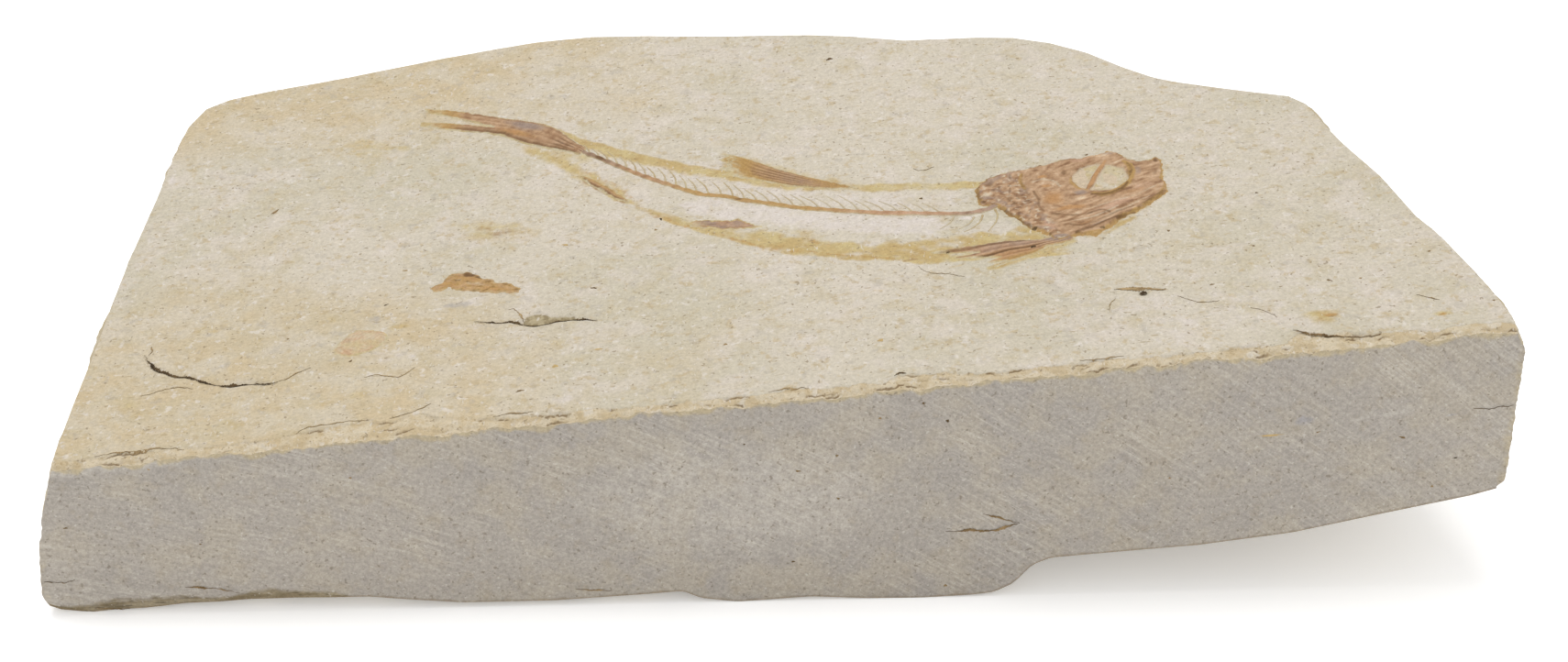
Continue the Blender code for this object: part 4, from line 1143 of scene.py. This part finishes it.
def build_broken_sides(stone, ring):
    """The left, back and right sides in one strip."""
    ring_u = np.concatenate([0 * V, U[1:], 0 * V[1:] + 1])
    ring_v = np.concatenate([V, 0 * U[1:] + 1, V[::-1][1:]])
    u, w = np.meshgrid(ring_u, W, indexing="ij")
    v = np.repeat(ring_v[:, None], len(W), axis=1)
    points = slab_point(u, v, w)
    points[:, 0] = refined(ring, UNDER_TIMES)
    above, below = from_edges(points)
    x, y, z = points.reshape(-1, 3).T
    masks = {
        "rind_and_shade": ramp(3.4, 0.4, above + 1.4 * swell(x + y, z, 9, 130) + 0.6 * swell(x - y, z, 3, 131)),
        "dirt_and_crevice_shade": 0.6 * ramp(0.2, 0.8, swell(x + y, 2.2 * z, 7, 132)) * ramp(0.3, 1.2, below),
    }
    grid_piece("broken_sides", points, masks, stone, flip=True, sharp=BROKEN_ANGLE)


def build_stone():
    build_top(top_material())
    broken = broken_material()
    front, ring = build_underside(broken)
    build_sawn_side(sawn_material(), front)
    build_broken_sides(broken, ring)


# ================================================================ the skull
JAW_LINE = [(33, 26.5), (35, 27.1), (38, 28.7), (40.2, 29.9), (42.5, 31.7), (44.3, 33.8)]
MAXILLA = [(31, 28.4), (33.2, 28.6), (36, 29.9), (38.6, 31), (41.6, 33), (44, 35)]
CREST = [(25, 40), (28, 41), (31.5, 41.7), (34, 42.2), (37, 42.5), (39, 43)]
OPERCLE = [(30.2, 40), (31.7, 39.9), (32.9, 38.4), (33.7, 36), (33.8, 34), (33.3, 32.4)]
ORBIT_RING = [
    (36.3, 34.5), (37.2, 34), (38.3, 34.2), (39.4, 35), (40.4, 36.2), (40.9, 37.4), (41.2, 38.8),
    (41.1, 40), (40.5, 40.9),
]
ORBIT_BACK = [(34.3, 38.3), (34.1, 37.1), (34.6, 36.1), (35.4, 35.4)]
PREOPERCLE = [(29.5, 38), (29.3, 35.5), (29.6, 33.4), (30.2, 31.5), (31.4, 31), (34, 31.1), (37, 30.6)]
# The ridges of the skull, and how far they stand up from its plates
RIDGES = (
    (JAW_LINE, 0.10), (MAXILLA, 0.09), (CREST, 0.08), (OPERCLE, 0.07),
    (ORBIT_RING, 0.14), (ORBIT_BACK, 0.08), (PREOPERCLE, 0.06),
)
JAW_HEADING = (0.891, 0.454)
SKULL_EDGE = 0.38            # the skull reaches its full height this far inside its border

HEAD_MARKS = {
    # sutures, edges of the plates and hollows
    "dark": [
        (0.5, [(23.6, 39.4), (23.4, 37.4), (23.7, 35.2)], 0.16, 0.3),
        (0.62, [(24.6, 40.2), (27, 41.1), (30, 41.6), (33.4, 42.5), (35, 42.6)], 0.18, 0.3),
        (0.62, [(25.6, 33.6), (27, 31.4), (28, 29.8), (28.9, 28.6)], 0.14, 0.35),
        (0.45, [(28.8, 40.2), (28.5, 39), (28.7, 37.2), (28.9, 36)], 0.2, 0.3),
        (0.6, [(29.7, 36.2), (30.1, 34.4), (29.9, 33), (30.4, 31.6)], 0.14, 0.3),
        (0.6, [(31.2, 30.9), (33, 30.4), (35, 30.2), (36.8, 30.8), (37.6, 30.2)], 0.14, 0.35),
        (0.55, [(32.4, 28.4), (34, 28), (36, 28.6), (38, 29.8), (40.4, 31)], 0.14, 0.3),
        (0.7, [(33.4, 26.5), (35.4, 27.3), (37, 28.3), (38.4, 28.9), (40.4, 29.8)], 0.16, 0.3),
        (0.55, [(40.8, 30.6), (42.2, 31.9), (43.6, 33.2), (44.4, 34)], 0.12, 0.3),
        (0.7, [(36.1, 34.3), (37.2, 33.9), (38.4, 34.1), (39.5, 34.8), (40.3, 36)], 0.2, 0.35),
        (0.6, [(40.8, 37.6), (41.2, 39), (40.9, 40.3)], 0.16, 0.35),
        (0.58, (24.9, 38.9), (0.9, 1.4)), (0.6, (25.2, 37.5), (0.6, 0.6)), (0.8, (24, 35.2), (0.5, 0.4)),
        (0.55, (26.9, 35.2), (0.6, 0.9)), (0.65, (27.3, 33.9), (0.8, 0.5)), (0.6, (28.9, 34.3), (0.4, 0.7)),
        (0.62, (33.5, 39.7), (0.6, 1), -0.2), (0.45, (33.4, 29.4), (1.9, 0.5), 0.15),
        (0.85, (36.4, 27.1), (0.5, 0.4)), (0.95, (29, 28.45), (0.55, 0.5)),
        (0.8, (44.15, 40.7), (0.5, 0.8)), (0.6, (43.8, 38.2), (0.45, 1.3), -0.2),
    ],
    # cheek plates
    "orange": [
        (0.8, (31.7, 34.4), (2.1, 2.6)), (0.85, (33.4, 31.9), (3.2, 0.8), 0.05),
        (0.9, (31, 39.4), (1, 0.5)), (0.75, (31.2, 37.2), (1, 0.6)), (0.6, (34.5, 28.3), (1.8, 0.5), 0.45),
        (0.5, (40.6, 34.3), (3.4, 0.8), 0.35), (0.7, ORBIT_BAR, 0.3, 0.2),
    ],
    # plates of the jaw and the brow
    "rosy": [
        (0.6, (38.4, 31.8), (5, 1.5), 0.45), (0.45, (42, 35.2), (2.2, 1.6), 0.4),
        (0.6, (35.6, 42), (1.8, 0.7)), (0.5, (27, 40.7), (2.6, 0.6), 0.3),
        (0.6, (30.8, 28.6), (1.2, 2.4), 0.5),
    ],
    # rims
    "ochre": [
        (0.95, ORBIT_RING, 0.32, 0.35), (0.75, [(28.7, 40.3), (28.4, 38.8), (28.8, 37)], 0.18, 0.3),
        (0.7, [(34.2, 38.4), (34, 37.2), (34.6, 36.1), (35.6, 35.4)], 0.16, 0.3),
        (0.8, [(34, 26.2), (36.4, 26.6), (38.6, 28.2), (40.6, 29.9)], 0.2, 0.35),
        (0.7, [(41.4, 30.9), (43.6, 32.9), (44.5, 35)], 0.16, 0.35),
    ],
    # thin films
    "grey": [
        (0.6, (25.8, 40.1), (1.8, 0.7), 0.3), (0.75, (34.9, 34.9), (1.4, 0.9)),
        (0.85, (31.7, 26.1), (1.5, 0.7), 0.1), (0.5, (41.9, 38.8), (0.7, 1.9), -0.1),
        (0.6, (36.2, 28.1), (2.4, 0.45), 0.5), (0.5, (39, 43), (1.3, 0.6)),
    ],
    # chips and streaks
    "pale": [
        (0.85, (24.4, 36.6), (0.8, 0.8)), (0.7, (27.8, 38), (0.5, 0.35)),
        (0.45, (30.9, 29.6), (0.7, 1.8), 0.5),
        (0.6, [(29.8, 38.5), (31, 38.9), (32.1, 38.3), (32.8, 36.8)], 0.12, 0.3),
        (0.55, [(33.6, 28.9), (36, 29.5), (38.6, 31.1)], 0.08, 0.25),
        (0.5, [(35.4, 31.5), (38, 32.2), (41, 33.5), (43.4, 34.8)], 0.1, 0.25),
        (0.5, [(37, 29.4), (39.4, 30.7), (42.4, 32.8)], 0.08, 0.25),
    ],
}


def along_jaw(x, y):
    """Places along the jaw's heading and across it."""
    c, s = JAW_HEADING
    return c * x + s * y, c * y - s * x


def orbit(x, y):
    """The eye socket (1 inside it), the strut of bone across it, and the distance from its centre."""
    off = np.hypot((x - ORBIT_CENTRE[0]) / ORBIT_RADII[0], (y - ORBIT_CENTRE[1]) / ORBIT_RADII[1])
    return ramp(1.03, 0.93, off + 0.04 * swell(x, y, 1.3, 154)), stroke(x, y, ORBIT_BAR, 0.24, 0.22), off


def head_rise(x, y, depth):
    """Smooth plates drawn out along the jaw, knobbly ones at the rear, and the ridges."""
    rear = ramp(31, 28, x + 0.25 * (y - 35))
    along, beside = along_jaw(x, y)
    plate = 0.25 + 0.09 * swell(x, y, 2.6, 5) + 0.04 * swell(x, y, 0.8, 151)
    plate = plate + 0.06 * swell(along * 0.22, beside, 0.62, 152) * (1 - rear)
    plate = plate + 0.08 * swell(x, y, 0.75, 153) * rear
    for line, lift in RIDGES:
        plate = plate + lift * stroke(x, y, line, 0.28, 0.35)
    eye, bar, _ = orbit(x, y)
    return plate * (1 - eye) + eye * (0.26 * bar - 0.03)


def head_masks(x, y, depth):
    rear = ramp(31, 28.8, x + 0.25 * (y - 35))
    # streaks along the jaw, curved ones on the cheek and mottles at the rear
    along, beside = along_jaw(x, y)
    bend = 0.8 * swell(x, y, 5, 160)
    straight = swell(along * 0.16 + bend, beside + 0.4 * bend, 0.75, 161)
    straight = straight + 0.6 * swell(along * 0.3, beside, 0.38, 162)
    arcs, turn = np.hypot(x - 35.5, 0.9 * (y - 37)), np.arctan2(y - 37, x - 35.5)
    curved = swell(arcs + 0.3 * bend, 2.2 * turn, 0.6, 163) + 0.5 * swell(arcs, 5 * turn, 0.36, 164)
    mottled = swell(x, y, 1.3, 165) + 1.3 * swell(x, y, 0.55, 166)
    cheek = ramp(34.6, 32.6, x) * ramp(31, 32.4, y)
    drawn = 0.36 * straight * (1 - cheek) + 0.30 * curved * cheek
    masks = painted(x, y, HEAD_MARKS)
    masks["streak"] = 0.55 + (1 - rear) * drawn + rear * (0.26 * mottled - 0.04)
    for key, strength, low, high, size, seed in (
        ("dark", 0.5, 0.28, 0.6, 0.6, 170), ("grey", 0.5, -0.1, 0.3, 1.1, 172),
        ("pale", 0.7, 0.25, 0.55, 0.5, 171),
    ):
        masks[key] = np.maximum(masks[key], strength * rear * ramp(low, high, swell(x, y, size, seed)))
    masks["ochre"] = np.maximum(masks["ochre"], 0.8 * ramp(0.5, 0.05, depth + 0.25 * swell(x, y, 1.1, 169)))
    # the stone that shows in the eye socket, with a stain along its rim
    eye, bar, off = orbit(x, y)
    bare = eye * (1 - bar)
    for key in ("dark", "grey", "rosy", "orange"):
        masks[key] = masks[key] * (1 - bare)
    masks["pale"] = np.maximum(masks["pale"] * (1 - eye), 0.9 * bare)
    stain = 0.34 * smudge(x, y, (39.2, 38.8), (2.2, 1.8)) + 0.3 * smudge(x, y, (35.3, 37.0), (0.9, 1.0))
    stain = stain + 0.75 * ramp(0.8, 1, off) * ramp(36, 38, x)
    masks["ochre"] = masks["ochre"] * (1 - eye) + bare * stain
    return masks


# ================================================================ the fins
def fin_film(name, outline, edge_a, edge_b, rays, style, bone, seed, height=0.15, ragged=0.12):
    """A folded fin whose rays fan out between two edges. style(x, y, t, ray) gives the shading: t is 0 on
    edge_a and 1 on edge_b, and ray is 1 on a ray."""
    def fan(x, y):
        t = across(x, y, edge_a, edge_b)
        return t, 0.5 + 0.5 * np.cos(2 * np.pi * rays * (t + 0.05 * swell(x, y, 3, seed + 5)))

    def rise(x, y, depth):
        return height * (0.35 + 0.65 * fan(x, y)[1]) * (1 + 0.25 * swell(x, y, 2.2, seed + 6))

    def masks(x, y, depth):
        return style(x, y, *fan(x, y))

    film(name, outline, 0.11, rise, masks, bone, seed, ragged, edge=0.25, margin=0.22)


def dorsal_style(x, y, t, ray):
    core = smudge(x, y, (1.6, 45.3), (8.6, 2.6), -0.66)
    root = smudge(x, y, (9.2, 41.5), (1, 0.5), -0.4)
    ochre = 0.28 + 0.65 * ramp(-1, -4.8, x) + 0.45 * (1 - core) + 0.3 * ramp(0.7, 1, t) * ramp(2, -2, x)
    return {
        "streak": 0.46 + 0.34 * (ray - 0.5) + 0.14 * swell(x, y, 1.8, 210),
        "orange": 0.2 * core,
        "grey": 0.4 * smudge(x, y, (2.4, 44.8), (6, 1.6), -0.66),
        "dark": 0.58 * core * (1 - ray) + 0.5 * root + 0.25 * ramp(0.75, 1, t) * ramp(-1, 3, x),
        "ochre": np.clip(ochre, 0, 1),
        "fade": 0.9 * ramp(-2.2, -5.2, x) * (1 - 0.6 * ray) + 0.35 * ramp(0.6, 1, t) * ramp(1, -3, x),
    }


def tail_style(x, y, t, ray):
    purple = smudge(x, y, (-29.2, 63.4), (4.8, 1.5), -0.5)
    middle = smudge(x, y, (-30.4, 61.9), (5.4, 1.1), -0.55)
    root = smudge(x, y, (-24.4, 58.2), (3.4, 1.8), -0.85)
    low, high = ramp(0.42, 0.06, 1 - t) * ramp(-40, -36, x), ramp(0.2, 0.04, t) * ramp(-38, -34, x)
    return {
        "streak": 0.48 + 0.16 * (ray - 0.5) + 0.2 * swell(x + 0.6 * y, y - 0.6 * x, 1.3, 224),
        "grey": 0.75 * purple + 0.3 * root,
        "orange": 0.7 * middle,
        "dark": np.clip(0.55 * low + 0.3 * high + 0.45 * root * (1.2 - ray) + 0.1 * (1 - ray), 0, 0.8),
        "ochre": np.clip(0.75 * ramp(-34.5, -39.5, x) + 0.3 * middle, 0, 1),
        "fade": 0.6 * ramp(-37.5, -41.8, x) + 0.35 * ramp(0.25, 0, t) * ramp(-35, -30, x),
    }


def anal_style(x, y, t, ray):
    return {
        "streak": 0.42 + 0.3 * (ray - 0.5),
        "dark": 0.55 * ramp(0.6, 0.1, t) + 0.15 * (1 - ray),
        "ochre": 0.35 + 0.5 * ramp(0.3, 0.9, t),
        "fade": 0.6 * ramp(0.45, 1, t),
    }


def pectoral_style(x, y, t, ray):
    upper, wrist = ramp(0.52, 0.34, t), smudge(x, y, (31.8, 25.9), (2.4, 1.1))
    folds = 0.62 * ramp(0.12, 0, np.abs(t - 0.52)) * ramp(31, 28, x) + 0.4 * ramp(0.12, 0, np.abs(t - 0.06))
    return {
        "streak": 0.46 + 0.34 * (ray - 0.5) + 0.1 * swell(x, y, 1.5, 244),
        "grey": 0.42 * upper * ramp(20, 25, x) + 0.6 * wrist,
        "rosy": 0.4 * upper,
        "orange": 0.5 * (1 - upper) * ramp(31, 27, x),
        "dark": folds + 0.3 * (1 - ray),
        "ochre": np.clip(0.75 * ramp(0.66, 0.95, t) + 0.5 * ramp(24, 19, x), 0, 1) * (1 - wrist),
        "fade": 0.5 * ramp(20.5, 17, x) + 0.3 * ramp(0.3, 0, t) * ramp(25, 21, x),
    }


# ================================================================ the backbone and its spines
COLUMN_HALF_WIDTH, COLUMN_LIFT = 0.42, 0.18
# Dark spots on the column: strength, centre, radii, turn
COLUMN_SPOTS = [
    (0.6, (-3.8, 41.4), (0.8, 0.5)), (0.45, (-20, 54), (1.4, 0.6), -0.8), (0.3, (21.4, 33.4), (1.6, 0.5)),
]
FIRST_SPINE, LAST_SPINE_X = 3, 19        # the spines start at this vertebra and end before this x
SPINE_REACH = [(-22, 2.4), (-18, 3.8), (-10, 4.4), (0, 4.0), (10, 4.6), (18, 3.4)]      # x, length
SPINE_LEAN = [(-22, 112), (-12, 103), (-6, 107), (5, 119), (18, 125)]                   # x, degrees from +x
# Ribs behind the head: points, how faded they are
RIBS = [
    ([(25.1, 33.6), (25.3, 32.2), (24.9, 30.6), (23.9, 28.9)], 0.05),
    ([(23.6, 32.6), (23.2, 31.2), (22.2, 30), (21.2, 29.3)], 0.1),
    ([(22.6, 32.4), (22, 31.1), (20.8, 30.2)], 0.3),
    ([(20.4, 33), (19.8, 31.6), (18.6, 30.4)], 0.4),
]


def build_backbone(bone):
    """Hourglass vertebrae along the column, pressed half into the stone."""
    path, at = resample(COLUMN, 0.16)
    heading = headings(path)
    t = at / at[-1]
    bead = 0.5 + 0.5 * np.cos(2 * math.pi * at / VERTEBRA)
    half = (COLUMN_HALF_WIDTH + 0.06 * ramp(0.25, 0.6, t)) * (0.84 + 0.20 * bead)
    half = half * (1 + 0.22 * swell(at, 0 * at, 1.3, 252)) * (0.4 + 0.6 * ramp(-0.02, 0.05, t))
    # half rings over the column, with a shallow groove along their crown
    angle = np.linspace(0, math.pi, 9)
    groove = 0.035 * np.exp(-(((angle - math.pi / 2) / 0.35) ** 2))
    lift = COLUMN_LIFT * (0.74 + 0.30 * bead)[:, None] - groove
    x = path[:, :1] - heading[:, 1:] * half[:, None] * np.cos(angle)
    y = path[:, 1:] + heading[:, :1] * half[:, None] * np.cos(angle)
    z = ground(x, y) - 0.03 + lift * np.abs(np.sin(angle)) ** 0.8
    points = np.stack([x, y, z], -1)
    x, y, t, bead = x.ravel(), y.ravel(), np.repeat(t, len(angle)), np.repeat(bead, len(angle))
    masks = {
        "streak": 0.54 + 0.12 * (1 - bead) + 0.22 * swell(x, y, 1.6, 250),
        "grey": 0.6 * ramp(0.84, 0.95, t) + 0.55 * ramp(0.32, 0.1, t),
        "rosy": 0.5 * ramp(0.5, 0.8, t),
        "orange": 0.34 + 0.2 * swell(x, y, 3, 251),
        "ochre": 0.7 * ramp(0.2, 0.4, t) * ramp(0.85, 0.6, t),
        "dark": 0.36 * ramp(0.45, 0, t) + 0.24 * bead,
        "fade": 0.75 * np.tile(np.abs(np.cos(angle)) ** 3, len(path)),
    }
    for strength, *spot in COLUMN_SPOTS:
        masks["dark"] = masks["dark"] + strength * smudge(x, y, *spot)
    grid_piece("backbone", points, masks, bone)


def build_spines(spine):
    """Spines of the vertebrae, upright by the tail and leaning back further forward, and the ribs."""
    curves = []
    column, run = resample(COLUMN, 0.05)
    for number in range(FIRST_SPINE, round(run[-1] / VERTEBRA)):
        x, y = column[np.argmin(abs(run - VERTEBRA * number))]
        if x > LAST_SPINE_X:
            break
        reach = level(SPINE_REACH, x) * (0.92 + 0.08 * math.sin(number * 2.1))
        lean = math.radians(level(SPINE_LEAN, x) + 3 * math.sin(number * 1.3))
        middle = (x + 0.5 * reach * math.cos(lean - 0.16), y + 0.5 * reach * math.sin(lean - 0.16))
        tip = (x + reach * math.cos(lean), y + reach * math.sin(lean))
        fade = 0.16 + 0.10 * math.sin(number * 2.7) + 0.3 * ramp(-6, 8, x)
        curves.append(([(x, y + 0.2), middle, tip], 0.13, 0.08, 0.02, fade))
    curves += [(rib, 0.15, 0.08, 0.03, fade) for rib, fade in RIBS]
    threads("spines_and_ribs", curves, spine)


# ================================================================ loose remains
SCRAP_MARKS = {
    "dark": [
        (1, (-34.4, 30.2), (1.4, 0.9), -0.3), (0.95, (-33.3, 29.5), (0.9, 0.5), -0.4),
        (0.65, (-30.3, 27.5), (0.8, 0.3), -0.4), (0.6, (-32.2, 28.6), (0.9, 0.3), -0.4),
        (0.5, (-36.5, 30.4), (0.5, 0.4)), (0.45, (-29, 26), (0.5, 0.5)),
    ],
    "pale": [(0.5, (-33.6, 28.1), (2.2, 0.6), -0.35), (0.4, (-35.6, 29.2), (0.8, 0.5))],
    "orange": [
        (0.8, (-36.6, 28.4), (1.8, 0.8), -0.3), (0.8, (-31.4, 26.7), (3, 0.7), -0.3),
        (0.8, (-34.6, 29.4), (2.6, 0.9), -0.3),
    ],
}
SCALE_CENTRE, SCALE_HEADING, RING_SPACING = (-43.3, 18.9), (0.92, 0.38), 0.62


def gut_rise(x, y, depth):
    return 0.04 + 0.03 * swell(x, y, 1, 262)


def gut_style(x, y, depth):
    u, v = 0.5 * x, y + 0.3 * x
    return {
        "streak": 0.46 + 0.3 * swell(u, v, 0.7, 260),
        "grey": 0.5 + 0.3 * swell(x, y, 1.5, 264),
        "rosy": 0.4 + 0 * x,
        "dark": 0.12 + 0.5 * swell(u, v, 0.6, 261),
        "ochre": 0.7 * ramp(0.6, 0.15, depth),
        "fade": 0.55 * ramp(-6, -9.5, x) + 0.5 * ramp(-3.4, -1.6, x),
    }


def scrap_rise(x, y, depth):
    return 0.10 + 0.07 * swell(x, y, 1.1, 270) + 0.04 * swell(x, 2 * y, 0.5, 271)


def scrap_style(x, y, depth):
    grain = swell(0.6 * x, 1.3 * y, 0.6, 272) + 0.5 * swell(x, 1.6 * y, 0.33, 274)
    masks = painted(x, y, SCRAP_MARKS)
    masks["streak"] = 0.56 + 0.3 * grain
    masks["ochre"] = 0.55 + 0.35 * ramp(0.1, 0.5, -grain)
    masks["dark"] = np.maximum(masks["dark"], 0.55 * ramp(0.22, 0.6, -grain))
    return masks


def scale_rings(x, y):
    """The growth rings of the scale, -1 to 1."""
    (c, s), a, b = SCALE_HEADING, x - SCALE_CENTRE[0], y - SCALE_CENTRE[1]
    off = np.hypot(a * c + b * s, 1.5 * (b * c - a * s))
    return np.cos(off * 2 * np.pi / RING_SPACING + 2.5 * swell(x, y, 1.6, 280))


def scale_rise(x, y, depth):
    return 0.05 + 0.05 * ramp(0, 1.6, depth) + 0.008 * scale_rings(x, y)


def scale_style(x, y, depth):
    left, rings = ramp(-45.2, -48.2, x + 0.35 * (y - 18)), scale_rings(x, y)
    low = ramp(0.9, 0.1, depth) * ramp(18.4, 16.6, y + 0.1 * (x + 46))
    return {
        "streak": 0.80 + 0.05 * rings + 0.1 * swell(x, y, 1.4, 281),
        "rosy": 0.45 - 0.15 * left,
        "ochre": np.clip(0.15 * left + 0.3 * low, 0, 1),
        "pale": np.clip(0.42 + 0.12 * rings + 0.2 * swell(x, y, 1.1, 282) - 0.2 * low, 0, 1),
        "fade": 0.45 + 0.25 * swell(x, y, 2, 284),
    }


def on_bone_or_stone(a, b, lift):
    """Just above the stone, or above the bone where there is some."""
    x, y = np.array([a]), np.array([b])
    high, depth = ground(x, y), depth_inside(x, y, HEAD)
    if depth[0] > 0:
        high = high + FILM_LIFT + head_rise(x, y, depth) * ramp(0, SKULL_EDGE, depth)
    elif depth_inside(x, y, PECTORAL_UPPER + PECTORAL_LOWER[::-1])[0] > 0:
        high = high + 0.17
    return (a, b, float(high[0]) + lift)


def build_fish():
    bone = bone_material()
    film(
        "skull", HEAD, 0.115, head_rise, head_masks, bone,
        seed=301, ragged=0.2, edge=SKULL_EDGE, fading=0.12,
    )
    dorsal = DORSAL_UPPER + DORSAL_LOWER[::-1]
    fin_film("dorsal_fin", dorsal, DORSAL_UPPER, DORSAL_LOWER, 6, dorsal_style, bone, seed=211, height=0.16)
    tail = TAIL_UPPER + TAIL_LOWER[::-1] + TAIL_FORK_LOW[:-1] + TAIL_FORK_UP[::-1]
    fin_film("tail_fin", tail, TAIL_UPPER, TAIL_LOWER, 5, tail_style, bone, seed=221)
    anal = ANAL_OUTER + ANAL_INNER[::-1]
    fin_film("anal_fin", anal, ANAL_OUTER, ANAL_INNER, 2, anal_style, bone, seed=231, height=0.13, ragged=0.2)
    pectoral = PECTORAL_UPPER + PECTORAL_TIPS + PECTORAL_LOWER[-2::-1]
    fin_film(
        "pectoral_fin", pectoral, PECTORAL_UPPER, PECTORAL_LOWER, 5, pectoral_style, bone,
        seed=241, ragged=0.1,
    )
    build_backbone(bone)
    build_spines(spine_material())
    film("gut_streak", GUT_STREAK, 0.11, gut_rise, gut_style, bone, seed=263, ragged=0.26, edge=0.3)
    film(
        "skin_scrap", FRAGMENT, 0.1, scrap_rise, scrap_style, bone,
        seed=273, ragged=0.2, edge=0.22, fading=0.4,
    )
    film("loose_scale", SCALE_OUTLINE, 0.11, scale_rise, scale_style, bone, seed=283, ragged=0.14, edge=0.3)


def build_breaks():
    line = line_material()
    ribbons("top_cracks", CRACKS, on_top, line)
    ribbons("sawn_side_cracks", FACE_CRACKS, on_face, line, seed=17)
    bits("top_specks", BITS, on_bone_or_stone, line, thick=0.05)
    bits("sawn_side_specks", FACE_BITS, on_face, line, thick=0.02)


# ================================================================ the studio
CAMERA_PLACE = (-8.09, -312.17, 209.83)
CAMERA_LENS, CAMERA_SENSOR = 71.58, 36
CAMERA_DOWN, CAMERA_RIGHT = 33, 2        # degrees that it looks down, and to the right of straight ahead
FLOOR_HALF = 4.0                         # metres, as the lamps' places and widths
FLOOR_GLOW = 0.25                        # keeps the paper white up to its far edge
SKY = 0.85
# Lamps: name, place, what it aims at, width, power
LAMPS = [
    ("key", (-0.15, 0.2, 1.1), (0, 0, 0), 0.7, 6.6),
    ("fill", (0.6, -0.9, 0.6), (0, 0, 0.02), 0.8, 1.6),
]


def put_in_scene(name, data):
    made = bpy.data.objects.new(name, data)
    bpy.context.scene.collection.objects.link(made)
    return made


def build_camera():
    lens = bpy.data.cameras.new("camera")
    lens.sensor_width, lens.lens, lens.sensor_fit = CAMERA_SENSOR, CAMERA_LENS, "HORIZONTAL"
    lens.clip_start, lens.clip_end = 0.01, 20
    camera = put_in_scene("camera", lens)
    camera.location = Vector(CAMERA_PLACE) * MM
    down, right = math.radians(CAMERA_DOWN), math.radians(CAMERA_RIGHT)
    forward = Vector((math.cos(down) * math.sin(right), math.cos(down) * math.cos(right), -math.sin(down)))
    camera.rotation_euler = forward.to_track_quat("-Z", "Y").to_euler()
    bpy.context.scene.camera = camera


def build_floor():
    mesh = bpy.data.meshes.new("floor")
    half = FLOOR_HALF
    corners = [(-half, -half, 0), (half, -half, 0), (half, half, 0), (-half, half, 0)]
    mesh.from_pydata(corners, [], [(0, 1, 2, 3)])
    paper = bpy.data.materials.new("studio_paper")
    paper.use_nodes = True
    for key, value in (
        ("Base Color", (0.93, 0.93, 0.93, 1)), ("Roughness", 0.95), ("Specular IOR Level", 0.1),
        ("Emission Color", (1, 1, 1, 1)), ("Emission Strength", FLOOR_GLOW),
    ):
        paper.node_tree.nodes["Principled BSDF"].inputs[key].default_value = value
    mesh.materials.append(paper)
    floor = put_in_scene("floor", mesh)


def build_lights():
    world = bpy.data.worlds.new("studio")
    world.use_nodes = True
    sky = world.node_tree.nodes["Background"]
    sky.inputs["Color"].default_value = (1, 1, 1, 1)
    sky.inputs["Strength"].default_value = SKY
    bpy.context.scene.world = world
    for name, place, aim, wide, power in LAMPS:
        lamp = bpy.data.lights.new(name, "AREA")
        lamp.shape, lamp.size, lamp.energy = "DISK", wide, power
        held = put_in_scene(name, lamp)
        held.location = place
        held.rotation_euler = (Vector(aim) - Vector(place)).to_track_quat("-Z", "Y").to_euler()
    bpy.context.scene.view_settings.view_transform = "Standard"


build_camera()
build_floor()
build_lights()
build_stone()
build_fish()
build_breaks()
